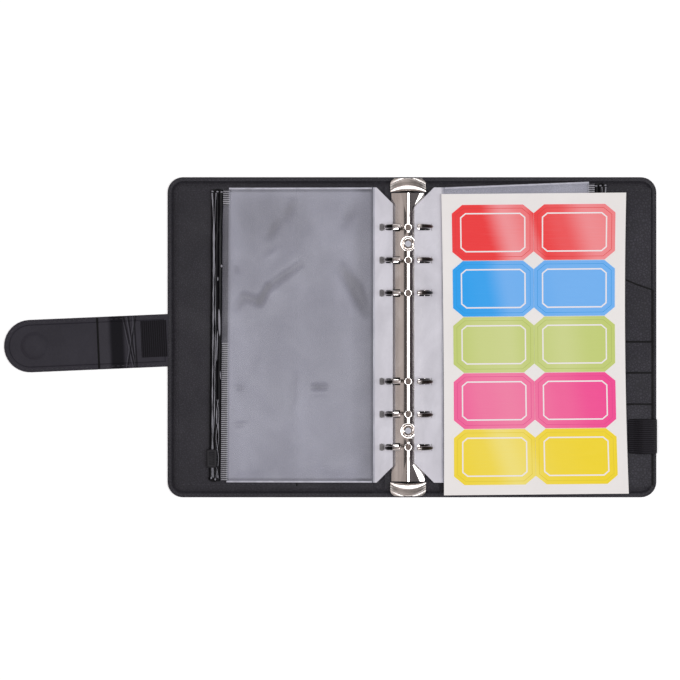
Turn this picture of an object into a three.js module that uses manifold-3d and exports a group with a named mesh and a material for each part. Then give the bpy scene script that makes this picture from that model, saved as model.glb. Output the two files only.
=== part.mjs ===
// Budget binder: a soft leather cover with six rings, two zip envelopes, a loose label sheet and a strap.
// Millimetres. +Z up, +X towards the back cover, +Y towards the head of the binder.
// The origin is the centre of the spine's outer face, on the surface that the open binder lies on.
import * as THREE from 'three';
import Module from 'manifold-3d';
import { mergeVertices } from 'three/addons/utils/BufferGeometryUtils.js';

const wasm = await Module();
wasm.setup();

// Cover, laid open
const COVER_WIDTH = 284;
const COVER_HEIGHT = 186;
const CORNER_RADIUS = 9;
const SKIN = 0.9;
const BOARD = 1.8;
const LINING = 0.6;
const SEWN_BORDER = 4.3;
const BORDER_SLOPE = 1.4;
const BOARD_CLEARANCE = 0.4;
const FOLD_WIDTH = 7;
const FOLD_AXIS_Z = 1.5;
const SEAT_GAP = 0.1;
const EDGE_GAP = 0.2;

// Pockets; mouths are measured up from the cover's foot
const POCKET = 0.45;
const POCKET_INSET = 6.5;
const FRONT_POCKET_MOUTH = 66.5;
const BACK_POCKET_MOUTH = 60.3;
const MEMO_MOUTH_INNER = 145;
const MEMO_MOUTH_OUTER = 122;
const CARD_MOUTHS = [90.8, 72.8, 54.6];
const CARD_SLOT_GAP = 0.4;

// Pen loop
const LOOP_WIDTH = 20.2;
const LOOP_FROM_FOOT = 35.6;
const LOOP_SPAN = 16.4;
const LOOP_OVERHANG = 0.5;
const LOOP_HEIGHT = 7.4;
const LOOP_ELASTIC = 0.9;

// Ring mechanism, in its own frame on the spine's lining
const MECHANISM_X = -2.4;
const RING_SPACING = [19, 19, 51, 19, 19];
const RING_RADIUS = 10.8;
const WIRE_DIAMETER = 2.3;
const RING_OPENING = THREE.MathUtils.degToRad(12.6);
const RING_RISE = 9.5;
const TIP_GAP = 0.3;
const PIVOT_X = 8.6;
const PIVOT_Z = 1.1;
const BLADE = 0.8;
const BLADE_GAP = 0.3;
const BLADE_LIP = 0.1;
const BLADE_CLOSED_TILT = THREE.MathUtils.degToRad(3.5);
const FOOT_GAP = 0.2;
const RAIL_FROM_EDGE = 9;
const RAIL_SHEET = 0.8;
const RAIL_SIDE_HEIGHT = 2.6;
const RAIL_HEIGHT = 6;
const RAIL_SIDE_CLEARANCE = 0.35;
const RIDGE_HALF_WIDTH = 2.9;
const RIDGE_END_HALF_WIDTH = 4.8;
const RIDGE_FLARE = 11;
const SLOT_INNER_X = 4.6;
const SLOT_WIDTH = 4;
const SLOT_DEPTH = 0.7;
const RIVET_SPACING = 108;
const RIVET_SHANK = 3.2;
const RIVET_HEAD = 6.4;
const RIVET_HEAD_HEIGHT = 0.9;
const RIVET_FOOT = 7.6;
const RIVET_FOOT_HEIGHT = 0.6;
const RIVET_CLEARANCE = 0.3;
const DISH_DIAMETER = 7.6;
const DISH_WALL = 0.6;
const DISH_DEPTH = 1;
const LEVER_WIDTH = 20.5;
const LEVER_REACH = 8;
const LEVER_SHEET = 1.2;
const LEVER_CORNER = 4.5;
const LEVER_DROP = 3.2;
const LEVER_GAP = 0.5;
const TONGUE_WIDTH = 7;
const TONGUE_LENGTH = 5;

// Zip envelopes
const ENVELOPE_FROM_HEAD = 6.5;
const ENVELOPE_FROM_FOOT = 9;
const LEFT_MARGIN_INNER = 6.8;
const RIGHT_MARGIN_INNER = 4.4;
const MARGIN_SHEET = 0.4;
const WELD_LINE = 20.3;
const FILM_EDGE = 104.5;
const ZIP_EDGE = 115.1;
const MARGIN_CHAMFER = 9.5;
const HOLE_INNER = 7.6;
const HOLE_LENGTH = 8.4;
const HOLE_WIDTH = 4.1;
const FILM = 0.35;
const FILM_GAP = 0.3;
const FOLD_GAP = 0.4;
const ZIP_THICKNESS = 2;
const ZIP_INSET = 1.5;
const SLIDER_WIDTH = 6.3;
const SLIDER_LENGTH = 10.8;
const SLIDER_WALL = 0.8;
const SLIDER_CLEARANCE = 0.3;
const SLIDER_OVERHANG = 2.5;
const LEFT_SLIDER_FROM_FOOT = 22.9;
const RIGHT_SLIDER_FROM_FOOT = 17;
const PAGE_BELOW_RING = 4.4;
const PAGE_CLEARANCE = 0.3;
const LOOP_PAGE_LIFT = 1;
const RIGHT_PAGE_SKEW = 0.04;

// Label sheet
const SHEET_INNER = 20.9;
const SHEET_WIDTH = 106.6;
const SHEET_FROM_HEAD = 8.3;
const SHEET_FROM_FOOT = 1.2;
const SHEET = 0.2;
const LABEL = 0.2;
const LABEL_WIDTH = 47.2;
const LABEL_PITCH = 32.6;
const LABEL_ROW_GAP = 0.3;
const LABEL_CHAMFER_X = 6.1;
const LABEL_CHAMFER_Y = 5;
const LABEL_TOP_MARGIN = 7.6;
const LABEL_COLOURS = {
  red: 0xf0484b,
  blue: 0x2f9cee,
  green: 0xbfd25c,
  pink: 0xf4489a,
  yellow: 0xf0d634,
};

// Strap
const STRAP_WIDTH = 29.8;
const STRAP_LENGTH = 95.4;
const STRAP_CENTRE_Y = -1.6;
const STRAP_TILT = THREE.MathUtils.degToRad(2.2);
const STRAP_LEATHER = 1.7;
const STRAP_OUTER = 0.8;
const STRAP_LINING = 0.6;
const STRAP_SLACK = 2.3;
const STRAP_ROOT_GAP = 0.3;
const STRAP_FOLD_GAP = 0.3;
const STRAP_CATCH_CLEARANCE = 0.3;
const ELASTIC_LENGTH = 14.5;
const ELASTIC_WIDTH = 21.6;
const ELASTIC = 0.4;
const MAGNET_DIAMETER = 10;
const MAGNET = 1.2;
const MAGNET_CLEARANCE = 0.3;
const MAGNET_FROM_TIP = 18.1;
const MAGNET_COVER = 0.5;
const MAGNET_SHOULDER = 2.5;

// Levels of the cover's layers and the lines that it folds about
const boardBottom = SKIN + SEAT_GAP;
const boardTop = boardBottom + BOARD;
const liningTop = boardTop + SEAT_GAP + LINING;
const borderTop = boardBottom + LINING;
const pocketTop = liningTop + SEAT_GAP + POCKET;
const memoTop = pocketTop + SEAT_GAP + POCKET;
const cardTop = memoTop + SEAT_GAP + POCKET;
const coverEdge = COVER_WIDTH / 2;
const headEdge = COVER_HEIGHT / 2;
const footEdge = -headEdge;
const boardInset = SEWN_BORDER + BORDER_SLOPE + BOARD_CLEARANCE;
const mechanismZ = liningTop + SEAT_GAP;
const wireRadius = WIRE_DIAMETER / 2;
const ringCentreZ = mechanismZ + PIVOT_Z + RING_RISE;
const openCentreX = PIVOT_X - PIVOT_X * Math.cos(RING_OPENING) + RING_RISE * Math.sin(RING_OPENING);
const RING_COVER_CLEARANCE = 0.55;
const openReach = Math.abs(MECHANISM_X) + openCentreX + RING_RADIUS + wireRadius;
const foldAxisX = openReach + RING_COVER_CLEARANCE + liningTop - FOLD_AXIS_Z;
const spineHalf = foldAxisX - FOLD_WIDTH / 2;
const panelInner = foldAxisX + FOLD_WIDTH / 2;
const closedThickness = 2 * (foldAxisX + FOLD_AXIS_Z);
const ringsLength = RING_SPACING.reduce((sum, step) => sum + step, 0);
const ringY = RING_SPACING.reduce((ys, step) => [...ys, ys.at(-1) + step], [-ringsLength / 2]);

// Materials
function finish(color, roughness, metalness = 0, opacity = 1) {
  const transparent = opacity < 1;
  return new THREE.MeshStandardMaterial({ color, roughness, metalness, opacity, transparent });
}
const leather = finish(0x39383d, 0.6);
const liningLeather = finish(0x3b3a40, 0.65);
const greyBoard = finish(0x8d857a, 0.9);
const elastic = finish(0x1d1c1f, 0.9);
const chrome = finish(0xc9c4c0, 0.15, 1);
const steel = finish(0x9a9a9c, 0.4, 1);
const magnetSteel = finish(0x77777a, 0.35, 1);
const frostedFilm = finish(0xc8c8d0, 0.3, 0, 0.55);
const blackPlastic = finish(0x161518, 0.3);
const sheetPaper = finish(0xe8e3e0, 0.5);

// Solids
function toSolid(geometry) {
  const bare = geometry.clone();
  bare.deleteAttribute('normal');
  bare.deleteAttribute('uv');
  const merged = mergeVertices(bare, 1e-4);
  const mesh = { numProp: 3, vertProperties: merged.attributes.position.array, triVerts: merged.index.array };
  return new wasm.Manifold(new wasm.Mesh(mesh));
}

function toGeometry(solid) {
  const { vertProperties, triVerts } = solid.getMesh();
  const geometry = new THREE.BufferGeometry();
  geometry.setAttribute('position', new THREE.BufferAttribute(new Float32Array(vertProperties), 3));
  geometry.setIndex(new THREE.BufferAttribute(new Uint32Array(triVerts), 1));
  geometry.computeVertexNormals();
  return geometry;
}

function cut(geometry, ...tools) {
  return toGeometry(tools.reduce((solid, tool) => solid.subtract(toSolid(tool)), toSolid(geometry)));
}

function join(geometry, ...others) {
  return toGeometry(others.reduce((solid, other) => solid.add(toSolid(other)), toSolid(geometry)));
}

function common(geometry, other) {
  return toGeometry(toSolid(geometry).intersect(toSolid(other)));
}

function block(x0, x1, y0, y1, z0, z1) {
  const box = new THREE.BoxGeometry(x1 - x0, y1 - y0, z1 - z0);
  return box.translate((x0 + x1) / 2, (y0 + y1) / 2, (z0 + z1) / 2);
}

function disc(diameter, z0, z1, x, y, topDiameter = diameter) {
  const sides = 24;
  const round = new THREE.CylinderGeometry(topDiameter / 2, diameter / 2, z1 - z0, sides);
  return round.rotateX(Math.PI / 2).translate(x, y, (z0 + z1) / 2);
}

// A flat plate of an outline in X and Y.
function plate(outline, z0, thickness, holes = []) {
  const shape = new THREE.Shape(outline);
  shape.holes = holes.map((points) => new THREE.Path(points));
  return new THREE.ExtrudeGeometry(shape, { depth: thickness, bevelEnabled: false }).translate(0, 0, z0);
}

// A bar with its profile in X and Z, along Y.
function barAlongY(profile, y0, y1) {
  const bar = new THREE.ExtrudeGeometry(new THREE.Shape(profile), { depth: y1 - y0, bevelEnabled: false });
  return bar.rotateX(Math.PI / 2).translate(0, y1, 0);
}

// A bar with its profile in Y and Z, along X.
function barAlongX(profile, x0, x1) {
  const bar = new THREE.ExtrudeGeometry(new THREE.Shape(profile), { depth: x1 - x0, bevelEnabled: false });
  const turn = new THREE.Matrix4().set(0, 0, 1, x0, 1, 0, 0, 0, 0, 1, 0, 0, 0, 0, 0, 1);
  return bar.applyMatrix4(turn);
}

function arc(x, y, radius, from, to, steps) {
  return Array.from({ length: steps + 1 }, (_, i) => {
    const angle = from + ((to - from) * i) / steps;
    return new THREE.Vector2(x + radius * Math.cos(angle), y + radius * Math.sin(angle));
  });
}

// A rectangle, anticlockwise, with one corner radius on its low-X side and one on its high-X side.
function roundedRectangle(x0, x1, y0, y1, lowRadius, highRadius) {
  const quarter = Math.PI / 2;
  const steps = 6;
  return [
    ...arc(x0 + lowRadius, y0 + lowRadius, lowRadius, 2 * quarter, 3 * quarter, steps),
    ...arc(x1 - highRadius, y0 + highRadius, highRadius, 3 * quarter, 4 * quarter, steps),
    ...arc(x1 - highRadius, y1 - highRadius, highRadius, 0, quarter, steps),
    ...arc(x0 + lowRadius, y1 - lowRadius, lowRadius, quarter, 2 * quarter, steps),
  ];
}

// One body through closed loops of equal point count, capped at both ends. flat gives a loop's own plane.
function loft(loops, flat) {
  const count = loops[0].length;
  const index = [];
  for (let row = 0; row < loops.length - 1; row++) {
    for (let i = 0; i < count; i++) {
      const a = row * count + i;
      const b = row * count + ((i + 1) % count);
      index.push(a, b, b + count, a, b + count, a + count);
    }
  }
  const caps = [
    { loop: loops[0], start: 0, sign: -1 },
    { loop: loops.at(-1), start: (loops.length - 1) * count, sign: 1 },
  ];
  for (const { loop, start, sign } of caps) {
    const outline = loop.map(flat);
    const wanted = sign * Math.sign(THREE.ShapeUtils.area(outline));
    for (const [a, b, c] of THREE.ShapeUtils.triangulateShape(outline, [])) {
      const turn = Math.sign(THREE.ShapeUtils.area([outline[a], outline[b], outline[c]]));
      const [second, third] = turn === wanted ? [b, c] : [c, b];
      index.push(start + a, start + second, start + third);
    }
  }
  const geometry = new THREE.BufferGeometry();
  const positions = loops.flat().flatMap((point) => point.toArray());
  geometry.setAttribute('position', new THREE.Float32BufferAttribute(positions, 3));
  geometry.setIndex(index);
  geometry.computeVertexNormals();
  return geometry;
}

const binder = new THREE.Group();
binder.name = 'budget_binder';

function add(parent, name, geometry, material) {
  const mesh = new THREE.Mesh(geometry, material);
  mesh.name = name;
  parent.add(mesh);
}

// A panel of the cover: its outline shrinks by inset, with round corners only at the fore-edge.
function panelOutline(x0, x1, lowRadius, highRadius, inset) {
  const smallest = 0.4;
  return roundedRectangle(
    x0 + inset,
    x1 - inset,
    -headEdge + inset,
    headEdge - inset,
    Math.max(lowRadius - inset, smallest),
    Math.max(highRadius - inset, smallest),
  );
}

// The lining lies on the board and comes down to the skin round the sewn border.
function liningSolid(x0, x1, lowRadius, highRadius) {
  const levels = [
    [SEWN_BORDER + BORDER_SLOPE, boardTop + SEAT_GAP],
    [SEWN_BORDER + BOARD_CLEARANCE, boardBottom],
    [0, boardBottom],
    [0, borderTop],
    [SEWN_BORDER, borderTop],
    [SEWN_BORDER + BORDER_SLOPE - BOARD_CLEARANCE, liningTop],
  ];
  const loops = levels.map(([inset, z]) =>
    panelOutline(x0, x1, lowRadius, highRadius, inset).map((p) => new THREE.Vector3(p.x, p.y, z)),
  );
  return loft(loops, (p) => new THREE.Vector2(p.x, p.y));
}

function addPanel(prefix, x0, x1, lowRadius, highRadius, boardHoles, liningHoles) {
  const outline = (inset) => panelOutline(x0, x1, lowRadius, highRadius, inset);
  add(binder, `${prefix}_skin`, plate(outline(0), 0, SKIN), leather);
  const board = plate(outline(boardInset), boardBottom, BOARD);
  add(binder, `${prefix}_board`, boardHoles.length ? cut(board, ...boardHoles) : board, greyBoard);
  const lining = liningSolid(x0, x1, lowRadius, highRadius);
  add(binder, `${prefix}_lining`, liningHoles.length ? cut(lining, ...liningHoles) : lining, liningLeather);
}

// Spine, covers and the leather that folds between them
const rivetY = [RIVET_SPACING / 2, -RIVET_SPACING / 2];
const shankHole = RIVET_SHANK + 2 * RIVET_CLEARANCE;
const footHole = RIVET_FOOT + 2 * RIVET_CLEARANCE;
const rivetFootBottom = boardBottom + SEAT_GAP;
const rivetFootTop = rivetFootBottom + RIVET_FOOT_HEIGHT;
const through = (diameter, z0, z1) => rivetY.map((y) => disc(diameter, z0, z1, MECHANISM_X, y));
const squareCorner = 0.5;
addPanel(
  'spine',
  -spineHalf,
  spineHalf,
  squareCorner,
  squareCorner,
  [...through(shankHole, 0, liningTop + 1), ...through(footHole, 0, rivetFootTop + SEAT_GAP)],
  through(shankHole, 0, liningTop + 1),
);
const foldStrip = (x0, x1) => block(x0 + EDGE_GAP, x1 - EDGE_GAP, -headEdge, headEdge, 0, borderTop);
add(binder, 'front_fold_leather', foldStrip(-panelInner, -spineHalf), leather);
add(binder, 'back_fold_leather', foldStrip(spineHalf, panelInner), leather);

// The strap lies a little askew; along runs from the front cover's edge to the strap's tip.
const strapRoot = new THREE.Vector2(-coverEdge, STRAP_CENTRE_Y);
function onStrap(along, across) {
  const point = new THREE.Vector2(-along, across);
  return point.rotateAround(new THREE.Vector2(), STRAP_TILT).add(strapRoot);
}
const strapFold1 = { x: -coverEdge - STRAP_SLACK, z: STRAP_LEATHER };
const magnetTop = STRAP_OUTER + 2 * SEAT_GAP + MAGNET;
const bumpTop = magnetTop + SEAT_GAP + MAGNET_COVER;
const bridgeLength = closedThickness + STRAP_CATCH_CLEARANCE + bumpTop - 2 * STRAP_LEATHER;
const strapFold2 = { x: strapFold1.x - bridgeLength, z: STRAP_LEATHER };
const magnetAt = onStrap(STRAP_LENGTH - MAGNET_FROM_TIP, 0);
const catchX = magnetAt.x - strapFold2.x - strapFold1.x;

addPanel('front', -coverEdge, -panelInner, CORNER_RADIUS, squareCorner, [], []);
const catchHole = disc(MAGNET_DIAMETER + 2 * MAGNET_CLEARANCE, 0, liningTop, catchX, magnetAt.y);
addPanel('back', panelInner, coverEdge, squareCorner, CORNER_RADIUS, [catchHole], []);
const catchDisc = disc(MAGNET_DIAMETER, boardBottom + SEAT_GAP, boardBottom + SEAT_GAP + MAGNET, catchX, magnetAt.y);
add(binder, 'catch_magnet', catchDisc, magnetSteel);

// Pockets on the linings
const pocketEdge = coverEdge - POCKET_INSET;
const pocketEnd = headEdge - POCKET_INSET;
const pocketCorner = CORNER_RADIUS - POCKET_INSET;
const frontPocket = roundedRectangle(-pocketEdge, -FRONT_POCKET_MOUTH, -pocketEnd, pocketEnd, pocketCorner, squareCorner);
add(binder, 'front_slip_pocket', plate(frontPocket, liningTop + SEAT_GAP, POCKET), liningLeather);
const backPocket = roundedRectangle(BACK_POCKET_MOUTH, pocketEdge, -pocketEnd, pocketEnd, squareCorner, pocketCorner);
add(binder, 'back_slip_pocket', plate(backPocket, liningTop + SEAT_GAP, POCKET), liningLeather);
const memoInner = BACK_POCKET_MOUTH + EDGE_GAP;
const memoMouth = new THREE.CubicBezierCurve(
  new THREE.Vector2(pocketEdge, footEdge + MEMO_MOUTH_OUTER),
  new THREE.Vector2(pocketEdge - 20, footEdge + MEMO_MOUTH_OUTER + 8),
  new THREE.Vector2(memoInner + 20, footEdge + MEMO_MOUTH_INNER),
  new THREE.Vector2(memoInner, footEdge + MEMO_MOUTH_INNER),
);
const memoOutline = [
  new THREE.Vector2(memoInner, -pocketEnd),
  new THREE.Vector2(pocketEdge, -pocketEnd),
  ...memoMouth.getPoints(10),
];
add(binder, 'memo_pocket', plate(memoOutline, pocketTop + SEAT_GAP, POCKET), liningLeather);
CARD_MOUTHS.forEach((mouth, i) => {
  const lower = CARD_MOUTHS[i + 1];
  const foot = lower ? footEdge + lower + CARD_SLOT_GAP : -pocketEnd;
  const slot = roundedRectangle(memoInner, pocketEdge, foot, footEdge + mouth, squareCorner, squareCorner);
  add(binder, `card_slot_${i + 1}`, plate(slot, memoTop + SEAT_GAP, POCKET), liningLeather);
});

// The pen loop is a band of elastic that arches from the card slots to the sewn edge.
const loopOuter = coverEdge + LOOP_OVERHANG - LOOP_ELASTIC / 2;
const loopInner = coverEdge + LOOP_OVERHANG - LOOP_SPAN;
const loopSeat = cardTop + SEAT_GAP + LOOP_ELASTIC / 2;
const loopHem = borderTop + EDGE_GAP + LOOP_ELASTIC / 2;
const loopMiddle = (loopInner + loopOuter) / 2;
const loopTop = cardTop + LOOP_HEIGHT - LOOP_ELASTIC / 2;
const loopLine = new THREE.CatmullRomCurve3(
  [
    [loopInner, loopSeat],
    [loopInner + LOOP_SPAN / 8, loopSeat + LOOP_ELASTIC / 3],
    [loopInner + LOOP_SPAN / 4, (loopSeat + loopTop) / 2],
    [loopMiddle, loopTop],
    [loopOuter - LOOP_SPAN / 10, (loopSeat + loopTop) / 2],
    [loopOuter, loopSeat],
    [loopOuter - LOOP_SPAN / 20, loopHem + LOOP_ELASTIC / 3],
    [loopOuter - SEWN_BORDER / 2, loopHem],
  ].map(([x, z]) => new THREE.Vector3(x, 0, z)),
);
function bandProfile(curve, thickness, steps) {
  const side = (sign) =>
    Array.from({ length: steps + 1 }, (_, i) => {
      const point = curve.getPoint(i / steps);
      const along = curve.getTangent(i / steps);
      const offset = (sign * thickness) / 2;
      return new THREE.Vector2(point.x - along.z * offset, point.z + along.x * offset);
    });
  return [...side(1), ...side(-1).reverse()];
}
const loopBand = bandProfile(loopLine, LOOP_ELASTIC, 24);
const loopCentreY = footEdge + LOOP_FROM_FOOT;
add(binder, 'pen_loop', barAlongY(loopBand, loopCentreY - LOOP_WIDTH / 2, loopCentreY + LOOP_WIDTH / 2), elastic);

// Strap: a bridge over the fore-edge, and a tip that lies on the back cover
const strapHalf = STRAP_WIDTH / 2;
const strapEnd = STRAP_LENGTH - strapHalf;
const strapOutline = [
  onStrap(-strapHalf, -strapHalf),
  onStrap(-strapHalf, strapHalf),
  ...arc(0, 0, strapHalf, Math.PI / 2, -Math.PI / 2, 16).map((p) => onStrap(strapEnd + p.x, p.y)),
];
function strapLayer(z0, thickness, fromX, toX) {
  const window = block(fromX, toX, -COVER_HEIGHT, COVER_HEIGHT, z0 - 1, z0 + thickness + 1);
  return common(plate(strapOutline, z0, thickness), window);
}
const tipStart = strapFold2.x - STRAP_FOLD_GAP / 2;
const bridgeEnd = strapFold2.x + STRAP_FOLD_GAP / 2;
const beyondTip = -coverEdge - 2 * STRAP_LENGTH;
const rootEnd = strapFold1.x + STRAP_FOLD_GAP / 2;
const bridgeStart = strapFold1.x - STRAP_FOLD_GAP / 2;
add(binder, 'strap_root', strapLayer(0, STRAP_LEATHER, rootEnd, -coverEdge - STRAP_ROOT_GAP), leather);
add(binder, 'strap_bridge', strapLayer(0, STRAP_LEATHER, bridgeEnd, bridgeStart), leather);
const patchHalf = ELASTIC_WIDTH / 2;
const patchStart = STRAP_SLACK + 5 * EDGE_GAP;
const patch = [
  onStrap(patchStart, -patchHalf),
  onStrap(ELASTIC_LENGTH, -patchHalf),
  onStrap(ELASTIC_LENGTH, patchHalf),
  onStrap(patchStart, patchHalf),
];
add(binder, 'strap_elastic', plate(patch, STRAP_LEATHER + SEAT_GAP, ELASTIC), elastic);
add(binder, 'strap_tip_outer', strapLayer(0, STRAP_OUTER, beyondTip, tipStart), leather);
const magnetBottom = STRAP_OUTER + SEAT_GAP;
add(binder, 'strap_magnet', disc(MAGNET_DIAMETER, magnetBottom, magnetBottom + MAGNET, magnetAt.x, magnetAt.y), magnetSteel);
const cavityWidth = MAGNET_DIAMETER + 2 * MAGNET_CLEARANCE;
const bumpFoot = cavityWidth + 2 * MAGNET_SHOULDER;
const bump = disc(bumpFoot, magnetBottom, bumpTop, magnetAt.x, magnetAt.y, cavityWidth + MAGNET_SHOULDER);
const cavity = disc(cavityWidth, 0, magnetTop, magnetAt.x, magnetAt.y);
const tipLining = join(strapLayer(magnetBottom, STRAP_LINING, beyondTip, tipStart), bump);
add(binder, 'strap_tip_lining', cut(tipLining, cavity), liningLeather);

// Ring mechanism
const mechanism = new THREE.Group();
mechanism.position.set(MECHANISM_X, 0, mechanismZ);
binder.add(mechanism);
const railHalf = PIVOT_X + BLADE_LIP + RAIL_SIDE_CLEARANCE + RAIL_SHEET - 0.1;
const railEnd = headEdge - RAIL_FROM_EDGE;

// The rail's section: a side wall, a flank that sweeps up and a rounded ridge that widens by flare.
function railSection(y, flare, inset) {
  const edge = railHalf - inset;
  const ridge = THREE.MathUtils.lerp(RIDGE_HALF_WIDTH, RIDGE_END_HALF_WIDTH, flare) - inset / 2;
  const rise = RAIL_HEIGHT - RAIL_SIDE_HEIGHT;
  const side = RAIL_SIDE_HEIGHT - inset;
  const shoulder = side + rise * THREE.MathUtils.lerp(0.5, 0.7, flare);
  const top = RAIL_HEIGHT - inset;
  const sweep = THREE.MathUtils.lerp(edge, ridge, 0.75);
  const flank = new THREE.CubicBezierCurve(
    new THREE.Vector2(edge, side),
    new THREE.Vector2(sweep, side + rise * 0.3),
    new THREE.Vector2(ridge + (edge - ridge) * 0.1, side + rise * 0.3),
    new THREE.Vector2(ridge, shoulder),
  );
  const crown = new THREE.QuadraticBezierCurve(
    new THREE.Vector2(ridge, shoulder),
    new THREE.Vector2(ridge * 0.72, top),
    new THREE.Vector2(0, top),
  );
  const foot = new THREE.Vector2(edge, inset ? -1 : 0);
  const half = [foot, ...flank.getPoints(7), ...crown.getPoints(6).slice(1)];
  const mirrored = half.slice(0, -1).map((p) => new THREE.Vector2(-p.x, p.y));
  return [...half, ...mirrored.reverse()].map((p) => new THREE.Vector3(p.x, y, p.y));
}
function railBody(inset, overrun) {
  const flares = [1, 0.92, 0.72, 0.46, 0.22, 0.06, 0];
  const stations = flares.map((flare, i) => [railEnd - (i * RIDGE_FLARE) / (flares.length - 1), flare]);
  stations[0][0] += overrun;
  const all = [...stations, ...stations.map(([y, flare]) => [-y, flare]).reverse()];
  return loft(all.map(([y, flare]) => railSection(y, flare, inset)), (p) => new THREE.Vector2(p.x, p.z));
}
const slotSteps = ringY.flatMap((y) => [1, -1].map((side) => ({ y, side })));
const slots = slotSteps.map(({ y, side }) => {
  const xs = [side * SLOT_INNER_X, side * (railHalf + 1)].sort((a, b) => a - b);
  return block(...xs, y - SLOT_WIDTH / 2, y + SLOT_WIDTH / 2, RAIL_SIDE_HEIGHT - SLOT_DEPTH, RAIL_HEIGHT + 1);
});
const dishFloor = RAIL_HEIGHT - DISH_DEPTH;
const dishWidth = DISH_DIAMETER + 2 * DISH_WALL;
const cupBottom = dishFloor - RAIL_SHEET;
const cupTop = RAIL_HEIGHT - RAIL_SHEET / 2;
const cups = rivetY.map((y) => disc(dishWidth, cupBottom, cupTop, 0, y));
const dishes = rivetY.map((y) => disc(DISH_DIAMETER, dishFloor, RAIL_HEIGHT + 1, 0, y));
const shankHoles = rivetY.map((y) => disc(shankHole, 0, RAIL_HEIGHT, 0, y));
const railShell = cut(railBody(0, 0), railBody(RAIL_SHEET, 1));
add(mechanism, 'ring_rail', cut(join(railShell, ...cups), ...dishes, ...shankHoles, ...slots), chrome);

rivetY.forEach((y, i) => {
  const base = rivetFootBottom - mechanismZ;
  const headBottom = dishFloor + SEAT_GAP;
  const shank = disc(RIVET_SHANK, base, headBottom + RIVET_HEAD_HEIGHT / 2, 0, y);
  const foot = disc(RIVET_FOOT, base, base + RIVET_FOOT_HEIGHT, 0, y);
  const head = disc(RIVET_HEAD, headBottom, headBottom + RIVET_HEAD_HEIGHT, 0, y, RIVET_HEAD * 0.7);
  add(mechanism, `rail_rivet_${['top', 'bottom'][i]}`, join(shank, foot, head), chrome);
});

// The right half of the rings, about its blade's outer edge. The left half is its mirror image.
class RingArc extends THREE.Curve {
  getPoint(t) {
    const from = THREE.MathUtils.degToRad(-62);
    const to = Math.PI / 2 - TIP_GAP / 2 / RING_RADIUS;
    const angle = from + (to - from) * t;
    const x = -PIVOT_X + RING_RADIUS * Math.cos(angle);
    return new THREE.Vector3(x, 0, RING_RISE + RING_RADIUS * Math.sin(angle));
  }
}
const wireSection = new THREE.Shape(arc(0, 0, wireRadius, 0, 2 * Math.PI, 10).slice(0, -1));
const wire = new THREE.ExtrudeGeometry(wireSection, { steps: 14, bevelEnabled: false, extrudePath: new RingArc() });
const underFoot = block(-PIVOT_X, PIVOT_X, -PIVOT_X, PIVOT_X, -PIVOT_X, BLADE / 2 + FOOT_GAP);
const ringHalf = cut(wire, underFoot.rotateY(-BLADE_CLOSED_TILT));

function bladeOutline() {
  const inner = -PIVOT_X + BLADE_GAP / 2;
  const end = railEnd - TONGUE_LENGTH - 1;
  const notch = shankHole / 2 + RIVET_CLEARANCE;
  const notches = [...rivetY].flatMap((y) => [
    new THREE.Vector2(inner, y + notch),
    new THREE.Vector2(inner + notch, y + notch / 2),
    new THREE.Vector2(inner + notch, y - notch / 2),
    new THREE.Vector2(inner, y - notch),
  ]);
  return [
    new THREE.Vector2(BLADE_LIP, -end),
    new THREE.Vector2(BLADE_LIP, end),
    new THREE.Vector2(inner, end),
    ...notches,
    new THREE.Vector2(inner, -end),
  ];
}
const blade = plate(bladeOutline(), -BLADE / 2, BLADE).rotateY(-BLADE_CLOSED_TILT);

for (const [side, name] of [[-1, 'left'], [1, 'right']]) {
  const half = new THREE.Group();
  half.scale.x = side;
  mechanism.add(half);
  const pivot = new THREE.Group();
  pivot.position.set(PIVOT_X, 0, PIVOT_Z);
  pivot.rotation.y = RING_OPENING;
  half.add(pivot);
  add(pivot, `${name}_blade`, blade, steel);
  ringY.forEach((y, i) => add(pivot, `${name}_ring_${i + 1}`, ringHalf.clone().translate(0, y, 0), chrome));
}

// Levers: a curled lip outside the rail's end, and a tongue that reaches in below the blades
const leverPivot = { y: railEnd + LEVER_GAP + LEVER_SHEET / 2, z: RAIL_HEIGHT - LEVER_SHEET };
function leverSolid() {
  const inner = railEnd + LEVER_GAP;
  const outer = railEnd + LEVER_REACH;
  const crest = new THREE.CatmullRomCurve3(
    [
      [inner, leverPivot.z],
      [inner + LEVER_REACH * 0.3, leverPivot.z + LEVER_SHEET * 0.3],
      [inner + LEVER_REACH * 0.65, leverPivot.z - LEVER_DROP * 0.25],
      [outer - LEVER_SHEET / 2, leverPivot.z - LEVER_DROP],
    ].map(([y, z]) => new THREE.Vector3(y, 0, z)),
  );
  const lip = barAlongX(bandProfile(crest, LEVER_SHEET, 10), -LEVER_WIDTH / 2, LEVER_WIDTH / 2);
  const corner = LEVER_CORNER;
  const plan = [
    new THREE.Vector2(-LEVER_WIDTH / 2, inner - 1),
    new THREE.Vector2(LEVER_WIDTH / 2, inner - 1),
    ...arc(LEVER_WIDTH / 2 - corner, outer - corner, corner, 0, Math.PI / 2, 6),
    ...arc(-LEVER_WIDTH / 2 + corner, outer - corner, corner, Math.PI / 2, Math.PI, 6),
  ];
  const trimmed = common(lip, plate(plan, 0, RAIL_HEIGHT + LEVER_SHEET));
  const tongueTop = RAIL_SIDE_HEIGHT + LEVER_SHEET;
  const tongueHalf = TONGUE_WIDTH / 2;
  const web = block(-tongueHalf, tongueHalf, inner, inner + LEVER_SHEET, RAIL_SIDE_HEIGHT, leverPivot.z);
  const tongue = block(-tongueHalf, tongueHalf, inner - TONGUE_LENGTH, inner + LEVER_SHEET, RAIL_SIDE_HEIGHT, tongueTop);
  return join(trimmed, web, tongue);
}
const lever = leverSolid();
add(mechanism, 'top_lever', lever, chrome);
add(mechanism, 'bottom_lever', lever.clone().rotateZ(Math.PI), chrome);

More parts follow.
